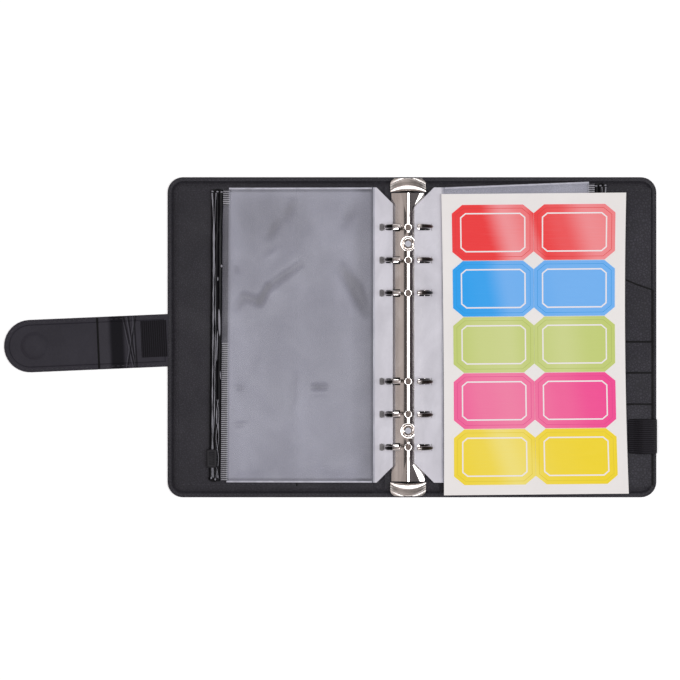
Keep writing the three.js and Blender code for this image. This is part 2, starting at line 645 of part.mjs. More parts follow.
// Zip envelopes: x runs out along the page from the ring axis, z is square to the page.
const sliderHalf = ZIP_THICKNESS / 2 + SLIDER_CLEARANCE + SLIDER_WALL;
function holeOutline(y) {
  const radius = HOLE_WIDTH / 2;
  const quarter = Math.PI / 2;
  return [
    ...arc(HOLE_INNER + HOLE_LENGTH - radius, y, radius, -quarter, quarter, 8),
    ...arc(HOLE_INNER + radius, y, radius, quarter, 3 * quarter, 8),
  ];
}
const envelopeTop = headEdge - ENVELOPE_FROM_HEAD;
const envelopeBottom = footEdge + ENVELOPE_FROM_FOOT;
function addEnvelope(name, side, seatZ, marginInner, sliderFromFoot, skew) {
  const mirror = new THREE.Group();
  mirror.position.set(MECHANISM_X, 0, 0);
  mirror.scale.x = side;
  binder.add(mirror);
  const nearZ = ringCentreZ - PAGE_BELOW_RING;
  const holeCentre = HOLE_INNER + HOLE_LENGTH / 2;
  const farZ = seatZ + PAGE_CLEARANCE + sliderHalf;
  const tilt = Math.atan((nearZ - farZ) / (ZIP_EDGE - holeCentre));
  const page = new THREE.Group();
  page.position.z = nearZ + holeCentre * Math.sin(tilt);
  page.rotation.y = tilt;
  mirror.add(page);
  const marginOuter = WELD_LINE - EDGE_GAP;
  const margin = [
    new THREE.Vector2(marginInner, envelopeBottom + MARGIN_CHAMFER),
    new THREE.Vector2(marginInner + MARGIN_CHAMFER, envelopeBottom),
    new THREE.Vector2(marginOuter, envelopeBottom),
    new THREE.Vector2(marginOuter, envelopeTop),
    new THREE.Vector2(marginInner + MARGIN_CHAMFER, envelopeTop),
    new THREE.Vector2(marginInner, envelopeTop - MARGIN_CHAMFER),
  ];
  const marginPlate = plate(margin, -MARGIN_SHEET / 2, MARGIN_SHEET, ringY.map(holeOutline));
  add(page, `${name}_punched_margin`, marginPlate, frostedFilm);
  const filmInner = WELD_LINE + FOLD_GAP;
  const filmRise = skew * (FILM_EDGE - WELD_LINE);
  const film = [
    new THREE.Vector2(filmInner, envelopeBottom),
    new THREE.Vector2(FILM_EDGE, envelopeBottom + filmRise),
    new THREE.Vector2(FILM_EDGE, envelopeTop + filmRise),
    new THREE.Vector2(filmInner, envelopeTop),
  ];
  add(page, `${name}_front_film`, plate(film, FILM_GAP / 2, FILM), frostedFilm);
  add(page, `${name}_back_film`, plate(film, -FILM_GAP / 2 - FILM, FILM), frostedFilm);
  const zipHalf = ZIP_THICKNESS / 2;
  const zipBottom = envelopeBottom + ZIP_INSET + filmRise;
  const zipTop = envelopeTop - ZIP_INSET + filmRise;
  add(page, `${name}_zip_track`, block(FILM_EDGE + EDGE_GAP, ZIP_EDGE, zipBottom, zipTop, -zipHalf, zipHalf), blackPlastic);
  const sliderOuter = ZIP_EDGE + SLIDER_OVERHANG;
  const sliderInner = sliderOuter - SLIDER_WIDTH;
  const sliderY = footEdge + sliderFromFoot + filmRise;
  const y0 = sliderY - SLIDER_LENGTH / 2;
  const y1 = sliderY + SLIDER_LENGTH / 2;
  const channel = zipHalf + SLIDER_CLEARANCE;
  const shell = block(sliderInner, sliderOuter, y0, y1, -sliderHalf, sliderHalf);
  const groove = block(sliderInner - 1, ZIP_EDGE + SLIDER_CLEARANCE, y0 - 1, y1 + 1, -channel, channel);
  add(page, `${name}_zip_slider`, cut(shell, groove), blackPlastic);
  return page;
}
const leftPage = addEnvelope('left', -1, pocketTop, LEFT_MARGIN_INNER, LEFT_SLIDER_FROM_FOOT, 0);
const rightSeat = cardTop + LOOP_PAGE_LIFT;
const rightPage = addEnvelope('right', 1, rightSeat, RIGHT_MARGIN_INNER, RIGHT_SLIDER_FROM_FOOT, RIGHT_PAGE_SKEW);

// Label sheet on the right envelope: rows of two octagons that share an edge
const sheetZ = sliderHalf + PAGE_CLEARANCE;
const sheetTop = headEdge - SHEET_FROM_HEAD;
const backing = roundedRectangle(
  SHEET_INNER,
  SHEET_INNER + SHEET_WIDTH,
  footEdge + SHEET_FROM_FOOT,
  sheetTop,
  squareCorner,
  squareCorner,
);
add(rightPage, 'label_backing', plate(backing, sheetZ, SHEET), sheetPaper);
const sheetMiddle = SHEET_INNER + SHEET_WIDTH / 2;
function labelPair(centreY) {
  const top = LABEL_PITCH / 2 - LABEL_ROW_GAP / 2;
  const upper = [
    [LABEL_WIDTH, top - LABEL_CHAMFER_Y],
    [LABEL_WIDTH - LABEL_CHAMFER_X, top],
    [LABEL_CHAMFER_X, top],
    [0, top - LABEL_CHAMFER_Y],
    [-LABEL_CHAMFER_X, top],
    [LABEL_CHAMFER_X - LABEL_WIDTH, top],
    [-LABEL_WIDTH, top - LABEL_CHAMFER_Y],
  ];
  const lower = upper.map(([x, y]) => [-x, -y]);
  return [...upper, ...lower].map(([x, y]) => new THREE.Vector2(sheetMiddle + x, centreY + y));
}
Object.entries(LABEL_COLOURS).forEach(([name, colour], row) => {
  const centreY = sheetTop - LABEL_TOP_MARGIN - LABEL_PITCH * (row + 0.5);
  add(rightPage, `labels_${name}`, plate(labelPair(centreY), sheetZ + SHEET + SEAT_GAP, LABEL), finish(colour, 0.35));
});

// Lines that the moving pieces turn about
const pageAxisX = 3.5;
binder.updateMatrixWorld(true);
const weldAxis = (page) => {
  const { x, z } = page.localToWorld(new THREE.Vector3(WELD_LINE, 0, 0));
  return { x, z };
};
binder.userData.axes = {
  covers: { x: foldAxisX, z: FOLD_AXIS_Z },
  blades: { x: PIVOT_X, z: mechanismZ + PIVOT_Z },
  levers: { y: leverPivot.y, z: mechanismZ + leverPivot.z },
  margins: { x: pageAxisX, z: ringCentreZ },
  leftWeld: weldAxis(leftPage),
  rightWeld: weldAxis(rightPage),
  strapFold1,
  strapFold2,
};

export default binder;
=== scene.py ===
import math

import bmesh
import bpy
from mathutils import Matrix, Vector, noise


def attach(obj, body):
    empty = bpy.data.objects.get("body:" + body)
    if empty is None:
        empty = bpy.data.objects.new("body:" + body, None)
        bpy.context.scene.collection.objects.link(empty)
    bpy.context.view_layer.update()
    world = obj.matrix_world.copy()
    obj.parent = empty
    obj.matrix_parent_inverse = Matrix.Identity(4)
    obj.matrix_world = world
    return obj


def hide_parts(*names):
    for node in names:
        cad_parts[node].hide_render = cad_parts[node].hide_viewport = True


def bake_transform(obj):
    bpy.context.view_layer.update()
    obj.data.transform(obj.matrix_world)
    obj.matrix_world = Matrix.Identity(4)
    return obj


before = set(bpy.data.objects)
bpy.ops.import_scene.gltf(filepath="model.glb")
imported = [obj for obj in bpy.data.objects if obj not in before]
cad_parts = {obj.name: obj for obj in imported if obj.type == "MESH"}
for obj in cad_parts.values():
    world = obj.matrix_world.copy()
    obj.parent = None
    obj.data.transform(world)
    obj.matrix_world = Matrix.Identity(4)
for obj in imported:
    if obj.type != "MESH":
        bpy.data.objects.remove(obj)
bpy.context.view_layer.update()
scene = bpy.context.scene

# Sizes in millimetres. A piece is modelled in them and brought to metres when it is placed.
MM = 0.001
COVER_X, COVER_Y, COVER_CORNER = 142.0, 93.0, 9.0
BORDER_Z, SEAM_INSET = 1.6, 1.4
SPINE_X, PANEL_X = 15.75, 22.6
POCKET_INNER, POCKET_X, POCKET_Y = 60.5, 138.6, 86.5
MECHANISM_X, MECHANISM_Z = -2.4, 3.6
MECHANISM_PLACE = Matrix.Translation((MECHANISM_X, 0, 0))
RAIL_END, SLOT_INNER, SLOT_HALF = 83.4, 4.6, 2.25
RING_Y = (-63.5, -44.5, -25.5, 25.5, 44.5, 63.5)
RING_RADIUS, WIRE_RADIUS, RING_HINGE_X, RINGS_OPEN = 10.8, 1.15, 8.6, 12.6
RIVET_Y = (54.0, -54.0)
PAGE_HEAD, PAGE_FOOT = 86.5, -84.0
MARGIN_U, FILM_INNER, FILM_U, ZIP_U = 19.6, 20.2, 104.5, 115.1
PAGE_FAR_Z = {-1: 6.45, 1: 8.55}
SHEET_U, SHEET_WIDTH, SHEET_HEAD, SHEET_FOOT = 19.75, 106.7, 83.0, -90.7
STRAP_TILT = math.radians(2.45)
STRAP_ROOT = (-142.0, -1.75)
STRAP_HALF, STRAP_LENGTH, STRAP_JOIN = 15.25, 95.1, 19.0
SIDES = ((-1, "left"), (1, "right"))


# ---------------------------------------------------------------- node helpers
def srgb(red, green, blue):
    def linear(value):
        value /= 255
        return value / 12.92 if value <= 0.04045 else ((value + 0.055) / 1.055) ** 2.4
    return linear(red), linear(green), linear(blue), 1.0


def add_node(tree, kind, inputs=None, **settings):
    node = tree.nodes.new(kind)
    for key, value in settings.items():
        setattr(node, key, value)
    for key, value in (inputs or {}).items():
        if isinstance(value, bpy.types.NodeSocket):
            tree.links.new(value, node.inputs[key])
        else:
            node.inputs[key].default_value = value
    return node


def calc(tree, operation, first, second=0.0, third=0.0):
    node = add_node(tree, "ShaderNodeMath", {0: first, 1: second, 2: third}, operation=operation)
    return node.outputs[0]


def remap(tree, value, low, high, to_low, to_high, smooth=True):
    node = add_node(tree, "ShaderNodeMapRange", {
        "Value": value, "From Min": low, "From Max": high, "To Min": to_low, "To Max": to_high,
    }, interpolation_type="SMOOTHSTEP" if smooth else "LINEAR")
    return node.outputs["Result"]


def cloud(tree, vector, scale, detail=4.0, roughness=0.55, distortion=0.0):
    node = add_node(tree, "ShaderNodeTexNoise", {
        "Vector": vector, "Scale": scale, "Detail": detail, "Roughness": roughness, "Distortion": distortion,
    })
    return node.outputs["Fac"]


def blend_colours(tree, factor, first, second):
    return add_node(tree, "ShaderNodeMix", {0: factor, 6: first, 7: second}, data_type="RGBA").outputs[2]


def colour_stops(tree, value, tones, interpolation="LINEAR"):
    """A colour ramp with a stop at each (place, colour) of tones."""
    node = add_node(tree, "ShaderNodeValToRGB", {0: value})
    node.color_ramp.interpolation = interpolation
    stops = node.color_ramp.elements
    while len(stops) < len(tones):
        stops.new(0.5)
    for stop, (place, colour) in zip(stops, tones):
        stop.position = place
        stop.color = colour
    return node.outputs["Color"]


def window(tree, value, rise, fall):
    """One between the rise and the fall, with a soft edge at each."""
    return calc(tree, "MULTIPLY", remap(tree, value, *rise, 0.0, 1.0), remap(tree, value, *fall, 1.0, 0.0))


def new_effect(name, inputs, outputs):
    tree = bpy.data.node_groups.new(name, "ShaderNodeTree")
    for label, default in inputs:
        kind = "NodeSocketVector" if default is None else "NodeSocketFloat"
        socket = tree.interface.new_socket(label, in_out="INPUT", socket_type=kind)
        if default is not None:
            socket.default_value = default
    for label in outputs:
        tree.interface.new_socket(label, in_out="OUTPUT", socket_type="NodeSocketFloat")
    return tree, tree.nodes.new("NodeGroupInput").outputs, tree.nodes.new("NodeGroupOutput").inputs


# ---------------------------------------------------------------- shared effects
def make_pebble_grain():
    tree, given, result = new_effect(
        "pebble_grain", [("Vector", None), ("Cells", 900.0), ("Clouds", 60.0)], ["Height", "Tone"])
    wobble = add_node(tree, "ShaderNodeTexNoise", {"Vector": given["Vector"], "Scale": 700.0, "Detail": 2.0})
    shifted = add_node(tree, "ShaderNodeVectorMath", {
        0: wobble.outputs["Color"], 1: (0.0006, 0.0006, 0.0006), 2: given["Vector"]}, operation="MULTIPLY_ADD")
    cells = add_node(tree, "ShaderNodeTexVoronoi", {
        "Vector": shifted.outputs[0], "Scale": given["Cells"]}, feature="DISTANCE_TO_EDGE")
    pebbles = remap(tree, cells.outputs["Distance"], 0.0, 0.3, 0.0, 0.7)
    pores = cloud(tree, given["Vector"], calc(tree, "MULTIPLY", given["Cells"], 1.7), 3.0)
    tree.links.new(calc(tree, "MULTIPLY_ADD", pores, 0.35, pebbles), result["Height"])
    tree.links.new(cloud(tree, given["Vector"], given["Clouds"], 5.0, 0.6), result["Tone"])
    return tree


def make_rib_lines():
    tree, given, result = new_effect(
        "rib_lines", [("Vector", None), ("Pitch", 0.001), ("Fuzz", 0.25)], ["Height", "Tone"])
    across = add_node(tree, "ShaderNodeSeparateXYZ", {0: given["Vector"]}).outputs["X"]
    turns = calc(tree, "DIVIDE", calc(tree, "MULTIPLY", across, 2 * math.pi), given["Pitch"])
    wave = calc(tree, "MULTIPLY_ADD", calc(tree, "SINE", turns), 0.5, 0.5)
    fuzz = cloud(tree, given["Vector"], 2200.0, 3.0)
    tree.links.new(calc(tree, "MULTIPLY_ADD", fuzz, given["Fuzz"], wave), result["Height"])
    tree.links.new(calc(tree, "MULTIPLY", wave, calc(tree, "ADD", fuzz, 0.5)), result["Tone"])
    return tree


def make_handling_marks():
    tree, given, result = new_effect(
        "handling_marks", [("Vector", None), ("Smears", 40.0), ("Specks", 900.0)], ["Smear", "Speck"])
    tree.links.new(cloud(tree, given["Vector"], given["Smears"], 6.0, 0.62, 0.6), result["Smear"])
    dots = cloud(tree, given["Vector"], given["Specks"], 2.0)
    tree.links.new(remap(tree, dots, 0.66, 0.76, 0.0, 1.0), result["Speck"])
    return tree


def make_film_ripple():
    tree, given, result = new_effect(
        "film_ripple", [("Vector", None), ("Ripples", 30.0)], ["Height", "Haze"])
    stretched = add_node(tree, "ShaderNodeMapping", {
        "Vector": given["Vector"], "Rotation": (0, 0, 0.5), "Scale": (1.0, 0.45, 1.0)}).outputs[0]
    swell = cloud(tree, stretched, given["Ripples"], 3.0, 0.5, 1.2)
    fine = cloud(tree, given["Vector"], calc(tree, "MULTIPLY", given["Ripples"], 12.0), 3.0)
    tree.links.new(calc(tree, "MULTIPLY_ADD", fine, 0.002, swell), result["Height"])
    tree.links.new(calc(tree, "MULTIPLY_ADD", fine, 0.2, remap(tree, swell, 0.3, 0.7, 0.0, 0.8)), result["Haze"])
    return tree


PEBBLE_GRAIN = make_pebble_grain()
RIB_LINES = make_rib_lines()
HANDLING_MARKS = make_handling_marks()
FILM_RIPPLE = make_film_ripple()


# ---------------------------------------------------------------- finishes
def new_finish(name, **constants):
    finish = bpy.data.materials.new(name)
    finish.use_nodes = True
    shader = finish.node_tree.nodes["Principled BSDF"]
    for key, value in constants.items():
        shader.inputs[key.replace("_", " ")].default_value = value
    return finish, finish.node_tree, shader


def own_place(tree, place=(0, 0, 0), turn=0.0, scale=(1, 1, 1)):
    spot = tree.nodes.new("ShaderNodeTexCoord").outputs["Object"]
    return add_node(tree, "ShaderNodeMapping", {
        "Vector": spot, "Location": place, "Rotation": (0, 0, turn), "Scale": scale}).outputs[0]


def effect(tree, group, vector, **values):
    node = tree.nodes.new("ShaderNodeGroup")
    node.node_tree = group
    tree.links.new(vector, node.inputs["Vector"])
    for key, value in values.items():
        node.inputs[key].default_value = value
    return node.outputs


def bump(tree, shader, height, distance, strength=1.0, under=None):
    node = add_node(tree, "ShaderNodeBump", {"Strength": strength, "Distance": distance, "Height": height})
    if under is not None:
        tree.links.new(under, node.inputs["Normal"])
    if shader is not None:
        tree.links.new(node.outputs[0], shader.inputs["Normal"])
    return node.outputs[0]


def feed(tree, value, shader, socket):
    tree.links.new(value, shader.inputs[socket])


def make_leather(name, dark, light, roughness, cells, depth):
    finish, tree, shader = new_finish(name, Specular_IOR_Level=0.35)
    spot = own_place(tree)
    grain = effect(tree, PEBBLE_GRAIN, spot, Cells=cells, Clouds=45.0)
    marks = effect(tree, HANDLING_MARKS, spot, Smears=28.0, Specks=1500.0)
    tone = blend_colours(tree, grain["Tone"], srgb(*dark), srgb(*light))
    gaps = remap(tree, grain["Height"], 0.1, 0.75, 0.55, 0.0)
    tone = blend_colours(tree, gaps, tone, srgb(*[c * 0.55 for c in dark]))
    feed(tree, blend_colours(tree, calc(tree, "MULTIPLY", marks["Speck"], 0.3), tone, srgb(120, 118, 124)),
         shader, "Base Color")
    feed(tree, remap(tree, marks["Smear"], 0.3, 0.7, roughness - 0.07, roughness + 0.08), shader, "Roughness")
    bump(tree, shader, grain["Height"], depth)
    return finish


def make_strap_leather():
    finish, tree, shader = new_finish("strap_leather", Specular_IOR_Level=0.2)
    spot = own_place(tree)
    strap = add_node(tree, "ShaderNodeMapping", {
        "Vector": spot, "Location": (STRAP_ROOT[0] * MM, STRAP_ROOT[1] * MM, 0),
        "Rotation": (0, 0, STRAP_TILT)}, vector_type="TEXTURE").outputs[0]
    parts = add_node(tree, "ShaderNodeSeparateXYZ", {0: strap}).outputs
    along = calc(tree, "MULTIPLY", parts["X"], -1000.0)
    across = calc(tree, "MULTIPLY", parts["Y"], 1000.0)
    grain = effect(tree, PEBBLE_GRAIN, spot, Cells=1300.0, Clouds=60.0)
    # Painted light across the strap's bend: the first band is painted dark as a dark reflection, and roughness rises
    # there; the second is painted lighter as light on a wave.
    dark_reflection_band = window(tree, along, (23.8, 26.6), (31.8, 34.6))
    painted_light_band = window(tree, along, (33.8, 35.0), (39.0, 40.0))
    tone = blend_colours(tree, grain["Tone"], srgb(40, 38, 45), srgb(58, 56, 64))
    tone = blend_colours(tree, calc(tree, "MULTIPLY", painted_light_band, 0.4), tone, srgb(60, 58, 64))
    feed(tree, remap(tree, dark_reflection_band, 0.0, 1.0, 0.62, 0.85), shader, "Roughness")
    inside = window(tree, along, (15.5, 17.0), (25.5, 27.0))
    hollow = rise = 0.0
    for lean, middle in ((0.175, 22.4), (0.12, 20.6), (-0.2, 20.8), (0.02, 18.6)):
        line = calc(tree, "SUBTRACT", along, calc(tree, "MULTIPLY_ADD", across, lean, middle))
        hollow = calc(tree, "MAXIMUM", hollow, remap(tree, calc(tree, "ABSOLUTE", line), 0.1, 0.55, 1.0, 0.0))
        beside = calc(tree, "ABSOLUTE", calc(tree, "SUBTRACT", line, 0.85))
        rise = calc(tree, "MAXIMUM", rise, remap(tree, beside, 0.1, 0.7, 1.0, 0.0))
    hollow, rise = calc(tree, "MULTIPLY", hollow, inside), calc(tree, "MULTIPLY", rise, inside)
    # Painted highlight on the rise beside each crease and painted shade in its hollow; the bump shapes them as well.
    tone = blend_colours(tree, calc(tree, "MULTIPLY", rise, 0.5), tone, srgb(92, 90, 98))
    tone = blend_colours(tree, calc(tree, "MULTIPLY", hollow, 0.75), tone, srgb(8, 8, 10))
    feed(tree, blend_colours(tree, dark_reflection_band, tone, srgb(22, 21, 26)), shader, "Base Color")
    creased = bump(tree, None, calc(tree, "SUBTRACT", rise, hollow), 0.0003)
    bump(tree, shader, grain["Height"], 0.00008, under=creased)
    return finish


def make_thread():
    finish, tree, shader = new_finish("thread", Roughness=0.7)
    twist = effect(tree, RIB_LINES, own_place(tree, turn=0.7), Pitch=0.0005, Fuzz=0.4)
    feed(tree, blend_colours(tree, twist["Tone"], srgb(22, 21, 26), srgb(88, 86, 94)), shader, "Base Color")
    bump(tree, shader, twist["Height"], 0.00005)
    return finish


def make_elastic(name, turn, pitch, light):
    finish, tree, shader = new_finish(name, Roughness=0.82, Specular_IOR_Level=0.2)
    spot = own_place(tree, turn=turn)
    ribs = effect(tree, RIB_LINES, spot, Pitch=pitch, Fuzz=0.35)
    across = own_place(tree, turn=turn + math.pi / 2)
    weave = effect(tree, RIB_LINES, across, Pitch=pitch * 0.6, Fuzz=0.2)
    feed(tree, blend_colours(tree, ribs["Tone"], srgb(15, 14, 17), srgb(*light)), shader, "Base Color")
    bump(tree, shader, calc(tree, "MULTIPLY_ADD", weave["Height"], 0.35, ribs["Height"]), 0.0002)
    return finish


def make_metal(name, colour, low, high):
    finish, tree, shader = new_finish(name, Metallic=1.0)
    marks = effect(tree, HANDLING_MARKS, own_place(tree), Smears=70.0, Specks=1600.0)
    drawn = cloud(tree, own_place(tree, scale=(1, 0.02, 1)), 420.0, 3.0)
    tone = blend_colours(tree, remap(tree, drawn, 0.35, 0.65, 0.0, 1.0),
                         srgb(*colour), srgb(*[c * 0.93 for c in colour]))
    feed(tree, blend_colours(tree, marks["Speck"], tone, srgb(*[c * 0.72 for c in colour])), shader, "Base Color")
    feed(tree, remap(tree, marks["Smear"], 0.3, 0.7, low, high), shader, "Roughness")
    bump(tree, shader, marks["Smear"], 0.00001, 0.5)
    return finish


def make_ring_steel():
    """Painted light: bright in the rail's slots and on the wire's sides; on top, where the wire faces up, painted dark
    as shade and dark reflection where it nears the punched holes, with satin roughness there.
    """
    finish, tree, shader = new_finish("ring_steel", Metallic=1.0)
    spot = own_place(tree)
    across = add_node(tree, "ShaderNodeSeparateXYZ", {0: spot}).outputs["X"]
    # Painted light along x on the wire's top: dark as shade and dark reflection over the punched holes, bright as a
    # painted highlight over the rail.
    tones = ((0.1, (150, 146, 146)), (0.15, (34, 31, 30)), (0.22, (28, 26, 25)), (0.245, (240, 232, 228)),
             (0.66, (240, 232, 228)), (0.7, (66, 60, 57)), (0.79, (40, 37, 35)), (0.85, (62, 58, 55)))
    top = colour_stops(tree, remap(tree, across, -0.02, 0.016, 0.0, 1.0, False),
                       [(place, srgb(*colour)) for place, colour in tones])
    top_painted_light = add_node(tree, "ShaderNodeAttribute", attribute_name="top_painted_light").outputs["Fac"]
    tone = blend_colours(tree, top_painted_light, srgb(240, 234, 230), top)
    marks = effect(tree, HANDLING_MARKS, spot, Smears=90.0, Specks=1800.0)
    feed(tree, blend_colours(tree, calc(tree, "MULTIPLY", marks["Speck"], 0.3), tone, srgb(120, 114, 110)),
         shader, "Base Color")
    satin = calc(tree, "MULTIPLY", top_painted_light, remap(tree, top, 0.02, 0.6, 0.42, 0.26))
    feed(tree, calc(tree, "ADD", satin, remap(tree, marks["Smear"], 0.3, 0.7, 0.07, 0.16)), shader, "Roughness")
    bump(tree, shader, marks["Smear"], 0.00003, 0.5)
    return finish


def make_film(name, colour, thin, thick, roughness, ripples, depth, creased=False):
    finish, tree, shader = new_finish(name, IOR=1.5, Specular_IOR_Level=0.4)
    spot = own_place(tree)
    ripple = effect(tree, FILM_RIPPLE, spot, Ripples=ripples)
    marks = effect(tree, HANDLING_MARKS, spot, Smears=35.0, Specks=700.0)
    feed(tree, blend_colours(tree, ripple["Haze"], srgb(*[c * 0.95 for c in colour]), srgb(*colour)),
         shader, "Base Color")
    veil = remap(tree, ripple["Haze"], 0.0, 1.0, thin, thick)
    # The crease attribute thins the veil where the film is painted darker as shade, and thickens it where the film is
    # painted lighter as highlight.
    if creased:
        crease = add_node(tree, "ShaderNodeAttribute", attribute_name="crease").outputs["Fac"]
        veil = calc(tree, "MULTIPLY", veil, calc(tree, "SUBTRACT", 1.0, crease))
    feed(tree, veil, shader, "Alpha")
    feed(tree, remap(tree, marks["Smear"], 0.3, 0.7, roughness - 0.05, roughness + 0.08), shader, "Roughness")
    bump(tree, shader, ripple["Height"], depth)
    return finish


def make_plastic(name, dark, light, low, high, smears=60.0, gloss=0.22):
    finish, tree, shader = new_finish(name, Specular_IOR_Level=gloss)
    spot = own_place(tree, scale=(1, 0.25, 1))
    marks = effect(tree, HANDLING_MARKS, spot, Smears=smears, Specks=1500.0)
    feed(tree, blend_colours(tree, marks["Smear"], srgb(*dark), srgb(*light)), shader, "Base Color")
    feed(tree, remap(tree, marks["Smear"], 0.3, 0.7, low, high), shader, "Roughness")
    bump(tree, shader, marks["Smear"], 0.0003, 0.5)
    return finish


def make_paper():
    finish, tree, shader = new_finish("sheet_paper", Roughness=0.45)
    spot = own_place(tree)
    marks = effect(tree, HANDLING_MARKS, spot, Smears=25.0, Specks=1200.0)
    feed(tree, blend_colours(tree, marks["Smear"], srgb(235, 231, 228), srgb(248, 245, 242)), shader, "Base Color")
    bump(tree, shader, cloud(tree, spot, 2500.0, 3.0), 0.00002)
    return finish


def make_label_colour(name, full, pale, start, sheen, lean):
    """Painted sheen: the label's colour runs from full to pale along the stops of sheen across the pair of labels, with
    streaks added.
    """
    finish, tree, shader = new_finish(name, Specular_IOR_Level=0.15)
    parts = add_node(tree, "ShaderNodeSeparateXYZ", {0: own_place(tree)}).outputs
    slanted = calc(tree, "MULTIPLY_ADD", parts["Y"], lean, parts["X"])
    across = remap(tree, slanted, start, start + LABEL_PAIR_WIDTH, 0.0, 1.0, False)
    # gloss carries the painted sheen, and the streaks add to it.
    gloss = colour_stops(tree, across, [(place, (value, value, value, 1)) for place, value in sheen], "EASE")
    streaks = cloud(tree, own_place(tree, scale=(0.06, 1, 1)), 900.0, 3.0)
    veil = calc(tree, "MULTIPLY_ADD", calc(tree, "SUBTRACT", streaks, 0.5), 0.25, gloss)
    feed(tree, blend_colours(tree, veil, srgb(*full), srgb(*pale)), shader, "Base Color")
    feed(tree, remap(tree, streaks, 0.3, 0.7, 0.34, 0.42), shader, "Roughness")
    bump(tree, shader, streaks, 0.00001)
    return finish


LEATHER = make_leather("cover_leather", (38, 37, 43), (56, 54, 62), 0.62, 800.0, 0.00014)
LINING = make_leather("cover_lining", (42, 41, 47), (60, 58, 66), 0.66, 900.0, 0.0001)
POCKET_LINING = make_leather("pocket_lining", (25, 24, 30), (70, 68, 77), 0.64, 620.0, 0.00016)
# Near-black leather strips: painted shadow along the pocket mouths and beside the pockets' outer side.
POCKET_SHADOW = make_leather("pocket_painted_shadow", (6, 6, 7), (15, 14, 17), 0.8, 1500.0, 0.00005)
STRAP_LEATHER = make_strap_leather()
THREAD = make_thread()
PATCH_ELASTIC = make_elastic("patch_elastic", STRAP_TILT, 0.0011, (38, 36, 42))
LOOP_ELASTIC = make_elastic("loop_elastic", math.pi / 2, 0.0012, (47, 45, 51))
CHROME = make_metal("bright_chrome", (236, 230, 226), 0.06, 0.15)
LEVER_CHROME = make_metal("lever_chrome", (252, 245, 240), 0.27, 0.34)
# Dark chrome painted for the shade and dark reflection on the rail's right-hand wings.
SHADED_CHROME = make_metal("shaded_chrome", (58, 54, 54), 0.12, 0.2)
RING_STEEL = make_ring_steel()
# The blades' steel is darkened as painted shade inside the ring slots.
SHADED_BLADE_STEEL = make_metal("blade_steel_painted_shade", (74, 72, 72), 0.4, 0.55)
MAGNET = make_metal("magnet_steel", (150, 150, 154), 0.3, 0.4)
RIVET_CENTRE = make_plastic("rivet_centre", (186, 188, 198), (206, 208, 218), 0.4, 0.55)
# Brown plastic inside the crown's dimples: painted shade and dark reflection.
DIMPLE_SHADE = make_plastic("dimple_painted_shade", (112, 98, 90), (150, 136, 128), 0.4, 0.55)
FRONT_FILM = make_film("front_film", (207, 208, 226), 0.24, 0.29, 0.24, 22.0, 0.0005, True)
BACK_FILM = make_film("back_film", (200, 200, 214), 0.17, 0.22, 0.28, 34.0, 0.0004, True)
MARGIN_FILM = make_film("margin_film", (229, 227, 236), 0.68, 0.78, 0.28, 40.0, 0.0004)
SHADED_FILM = make_film("hole_shade", (120, 116, 118), 0.7, 0.85, 0.4, 200.0, 0.0002)
CLEAR_FILM = make_film("clear_edge", (226, 223, 230), 0.03, 0.07, 0.3, 60.0, 0.0002)
WELD_FILM = make_film("welded_edge", (222, 222, 234), 0.5, 0.66, 0.25, 120.0, 0.0003)
LADDER_FILM = make_film("ladder_film", (104, 103, 114), 0.34, 0.46, 0.3, 90.0, 0.0003)
LADDER_GAP = make_film("ladder_gap", (52, 51, 60), 0.4, 0.55, 0.3, 90.0, 0.0003)
RUNG_FILM = make_film("ladder_rung", (212, 211, 220), 0.33, 0.43, 0.3, 200.0, 0.0002)
FAINT_RUNG = make_film("faint_rung", (150, 148, 160), 0.06, 0.14, 0.3, 200.0, 0.0002)
ZIP_BLACK = make_plastic("zip_black", (6, 6, 8), (16, 15, 19), 0.25, 0.5, 90.0, 0.09)
# Pale plastic for the zip's painted highlights.
ZIP_GLINT = make_plastic("zip_glint", (84, 83, 90), (176, 175, 184), 0.25, 0.4, 200.0)
# Near-black: the strap's dark cross seam, and painted shade in the ring slots and on the levers' tongues.
SEAM_AND_SHADE_BLACK = make_plastic("seam_and_painted_shade_black", (4, 4, 5), (12, 11, 12), 0.7, 0.85)
SLIDER_BLACK = make_plastic("slider_black", (26, 25, 28), (40, 39, 43), 0.5, 0.62)
PAPER = make_paper()
LABEL_LINE = make_plastic("label_line", (246, 240, 240), (252, 248, 248), 0.35, 0.45)
LABEL_PAIR_WIDTH = 0.0944
SHEEN_PLACES = (0.0, 0.18, 0.33, 0.46, 0.52, 0.66, 0.84, 1.0)
# Each colour's full tone and its pale tone of painted sheen, how far the painted sheen goes at the places above, and
# the slant of the sheen.
LABELS = {
    "red": ((250, 46, 48), (255, 160, 164), (0, 0.0, 0.9, 0.55, 0.04, 0.18, 0.8, 0.66), 0.3),
    "blue": ((0, 168, 252), (116, 187, 255), (0, 0.12, 0.97, 0.9, 0.85, 1, 1, 0.9), 0.2),
    "green": ((197, 214, 104), (216, 226, 148), (0.3, 0.8, 0.95, 0.4, 0.6, 0.9, 0.4, 0.2), 0.1),
    "pink": ((255, 66, 152), (255, 134, 174), (0.4, 0.8, 0.95, 0.8, 0.6, 0.4, 0.1, 0), 0.2),
    "yellow": ((254, 226, 26), (255, 238, 126), (0.1, 0.26, 0.95, 0.6, 0.2, 0.08, 0, 0), 0.35),
}


# ---------------------------------------------------------------- modelling helpers
def face_outward(bm):
    bmesh.ops.recalc_face_normals(bm, faces=bm.faces[:])


def thicken(bm, thickness):
    bmesh.ops.solidify(bm, geom=bm.faces[:], thickness=thickness)


def of_kind(kind, items):
    return [item for item in items if isinstance(item, kind)]


def on_ring_row(face, reach=0.5):
    return any(abs(face.calc_center_median().y - y) < reach for y in RING_Y)


